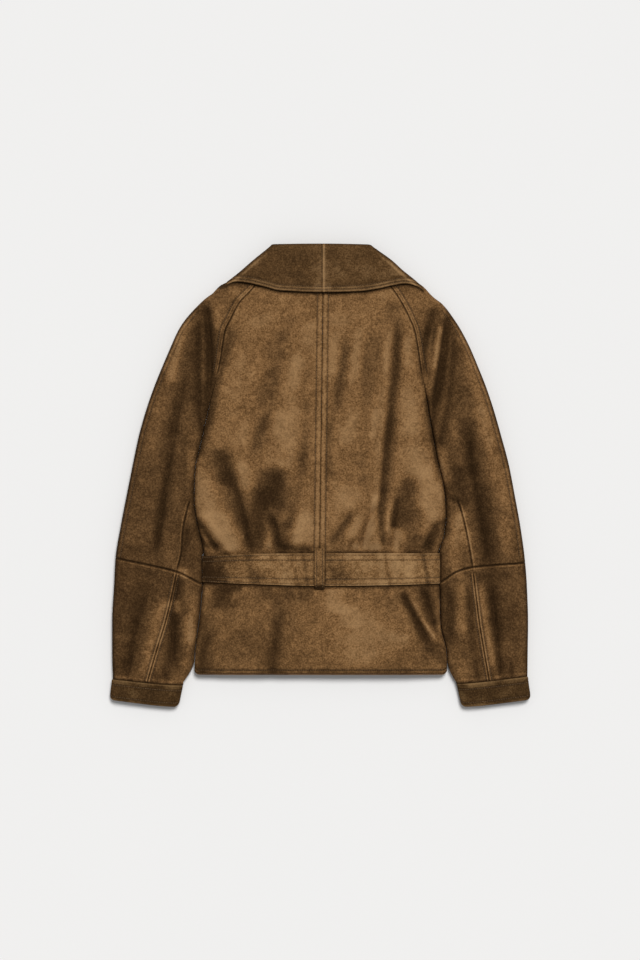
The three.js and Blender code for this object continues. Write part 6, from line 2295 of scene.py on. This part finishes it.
    def loop_top_face(self, x: Array, y: Array) -> Array:
        """The loop's height: on the back above and below the belt, and a bridge over the belt."""
        over = span(y, (-165.8, -161.6, -113.0, -108.5))
        bridge = self.face + REST_GAP + LOOP_CLOTH
        ground = loft_middle(y) + REST_GAP + LOOP_CLOTH + 0.6
        edge = np.minimum(x - self.loop_left, self.loop_right - x)
        end = np.minimum(self.loop_top - y, y - self.loop_foot)
        sunk = 0.9 * (1.0 - rolled(edge, 0.9)) + 0.5 * (1.0 - rolled(end, 0.9))
        return mix(ground, bridge, over) - sunk + bells(edge, self.loop_shapes)

    def loop(self) -> Panel:
        """The loop as a panel."""
        near = np.array([0, 0.12, 0.35, 0.7, 1.1, 1.8, 2.3, 2.6, 2.9, 3.4])
        def shade(x: Array, y: Array) -> Array:
            """Lighter along its edges as worn nap and painted highlight, darker at its rows and all over,
            with a painted shadow at its lower end.
            """
            edge = np.minimum(x - self.loop_left, self.loop_right - x)
            wear_and_painted_light = bells(edge, self.loop_shades) - 0.25 - 1.2 * (1.0 - ease(y, -165.0, -155.0))
            return np.clip(wear_and_painted_light + Unevenness(44, 9.0, 0.2)(x, y), -1, 1)
        return Panel(
            start=level_at(self.loop_left), end=level_at(self.loop_right), near_start=near, near_end=near,
            step=1.0, levels=graded(self.loop_top, self.loop_foot, 1.0, near, near), row=level_row,
            sheet=Sheet(self.loop_top_face, shade, Facing.UP, cloth=LOOP_CLOTH))


def place_panel(name: str, panel: Panel, material: Material, slot: str,
                rests_on: tuple[str, ...] = ("floor",)) -> Piece:
    """Builds a panel as the piece that stands for its node.

    Args:
        name: the piece's and the node's name.
        panel: the panel.
        material: its finish.
        slot: its slot; not used.
        rests_on: what carries it; not used.

    Returns:
        The piece.
    """
    piece = panel.build(name)
    piece.name = name
    SewnPiece.dress(piece, material, slot)
    SewnPiece.cloth(piece, name, rests_on)
    log.info("%s: %d faces", name, len(piece.data.polygons))
    return piece


@dataclass
class Studio:
    """A plain pale floor, soft light from above and a camera straight over the jacket."""

    floor_half: float = 6.0
    floor_z: float = -0.0005
    camera_height: float = 4.0
    view_height: float = 1.392
    cloth_z: float = 0.02
    sensor: float = 36.0
    centre: tuple[float, float] = (-0.0007, -0.00725)
    sky: float = 0.36
    sun: float = 2.62
    sun_angle: float = 24.0
    sun_way: tuple[float, float, float] = (0.22, 0.5, 1.0)

    def floor(self) -> None:
        """The floor, a wide level sheet just below the jacket."""
        half = self.floor_half * METRE
        z = self.floor_z * METRE
        points = np.array([[-half, -half, z], [half, -half, z], [half, half, z], [-half, half, z]])
        floor = SewnPiece.mesh_of("floor", points, [[0, 1, 2, 3]])
        floor.data.materials.append(FloorFinish().material())

    def light(self) -> None:
        """A white sky and one broad lamp from above, a little from the collar's side."""
        world = bpy.data.worlds.new("studio")
        world.use_nodes = True
        background = world.node_tree.nodes["Background"]
        background.inputs[0].default_value = (1.0, 1.0, 1.0, 1.0)
        background.inputs[1].default_value = self.sky
        bpy.context.scene.world = world
        lamp = bpy.data.lights.new("broad_lamp", "SUN")
        lamp.energy = self.sun
        lamp.angle = math.radians(self.sun_angle)
        lamp.color = (1.0, 0.99, 0.975)
        holder = bpy.data.objects.new("broad_lamp", lamp)
        x, y, z = self.sun_way
        holder.rotation_euler = (math.atan2(-y, z), math.atan2(x, math.hypot(y, z)), 0.0)
        bpy.context.scene.collection.objects.link(holder)

    def camera(self) -> None:
        """The camera straight above, its view as high as the photograph's at the cloth's height."""
        lens = bpy.data.cameras.new("camera")
        lens.sensor_fit = "VERTICAL"
        lens.sensor_height = self.sensor
        lens.lens = self.sensor * (self.camera_height - self.cloth_z) / self.view_height
        lens.dof.use_dof = False
        lens.clip_end = 50.0
        holder = bpy.data.objects.new("camera", lens)
        holder.location = (*self.centre, self.camera_height)
        bpy.context.scene.collection.objects.link(holder)
        bpy.context.scene.camera = holder
        bpy.context.scene.view_settings.view_transform = "Standard"

    def build(self) -> None:
        """Builds the floor, the light and the camera."""
        self.floor()
        self.light()
        self.camera()


def main() -> None:
    """Builds the studio and the jacket."""
    logging.basicConfig(level=logging.INFO, format="%(name)s %(message)s")
    Studio().build()
    palette = Palette.mixed()
    stitching = Stitching()
    Torso().build(palette, stitching)
    for side in SIDES:
        Sleeve(side).build(palette, stitching)
        Cuff(side).build(palette, stitching)
    Collar().build(palette, stitching)
    Belt().build(palette, stitching)


if __name__ == "__main__":
    main()
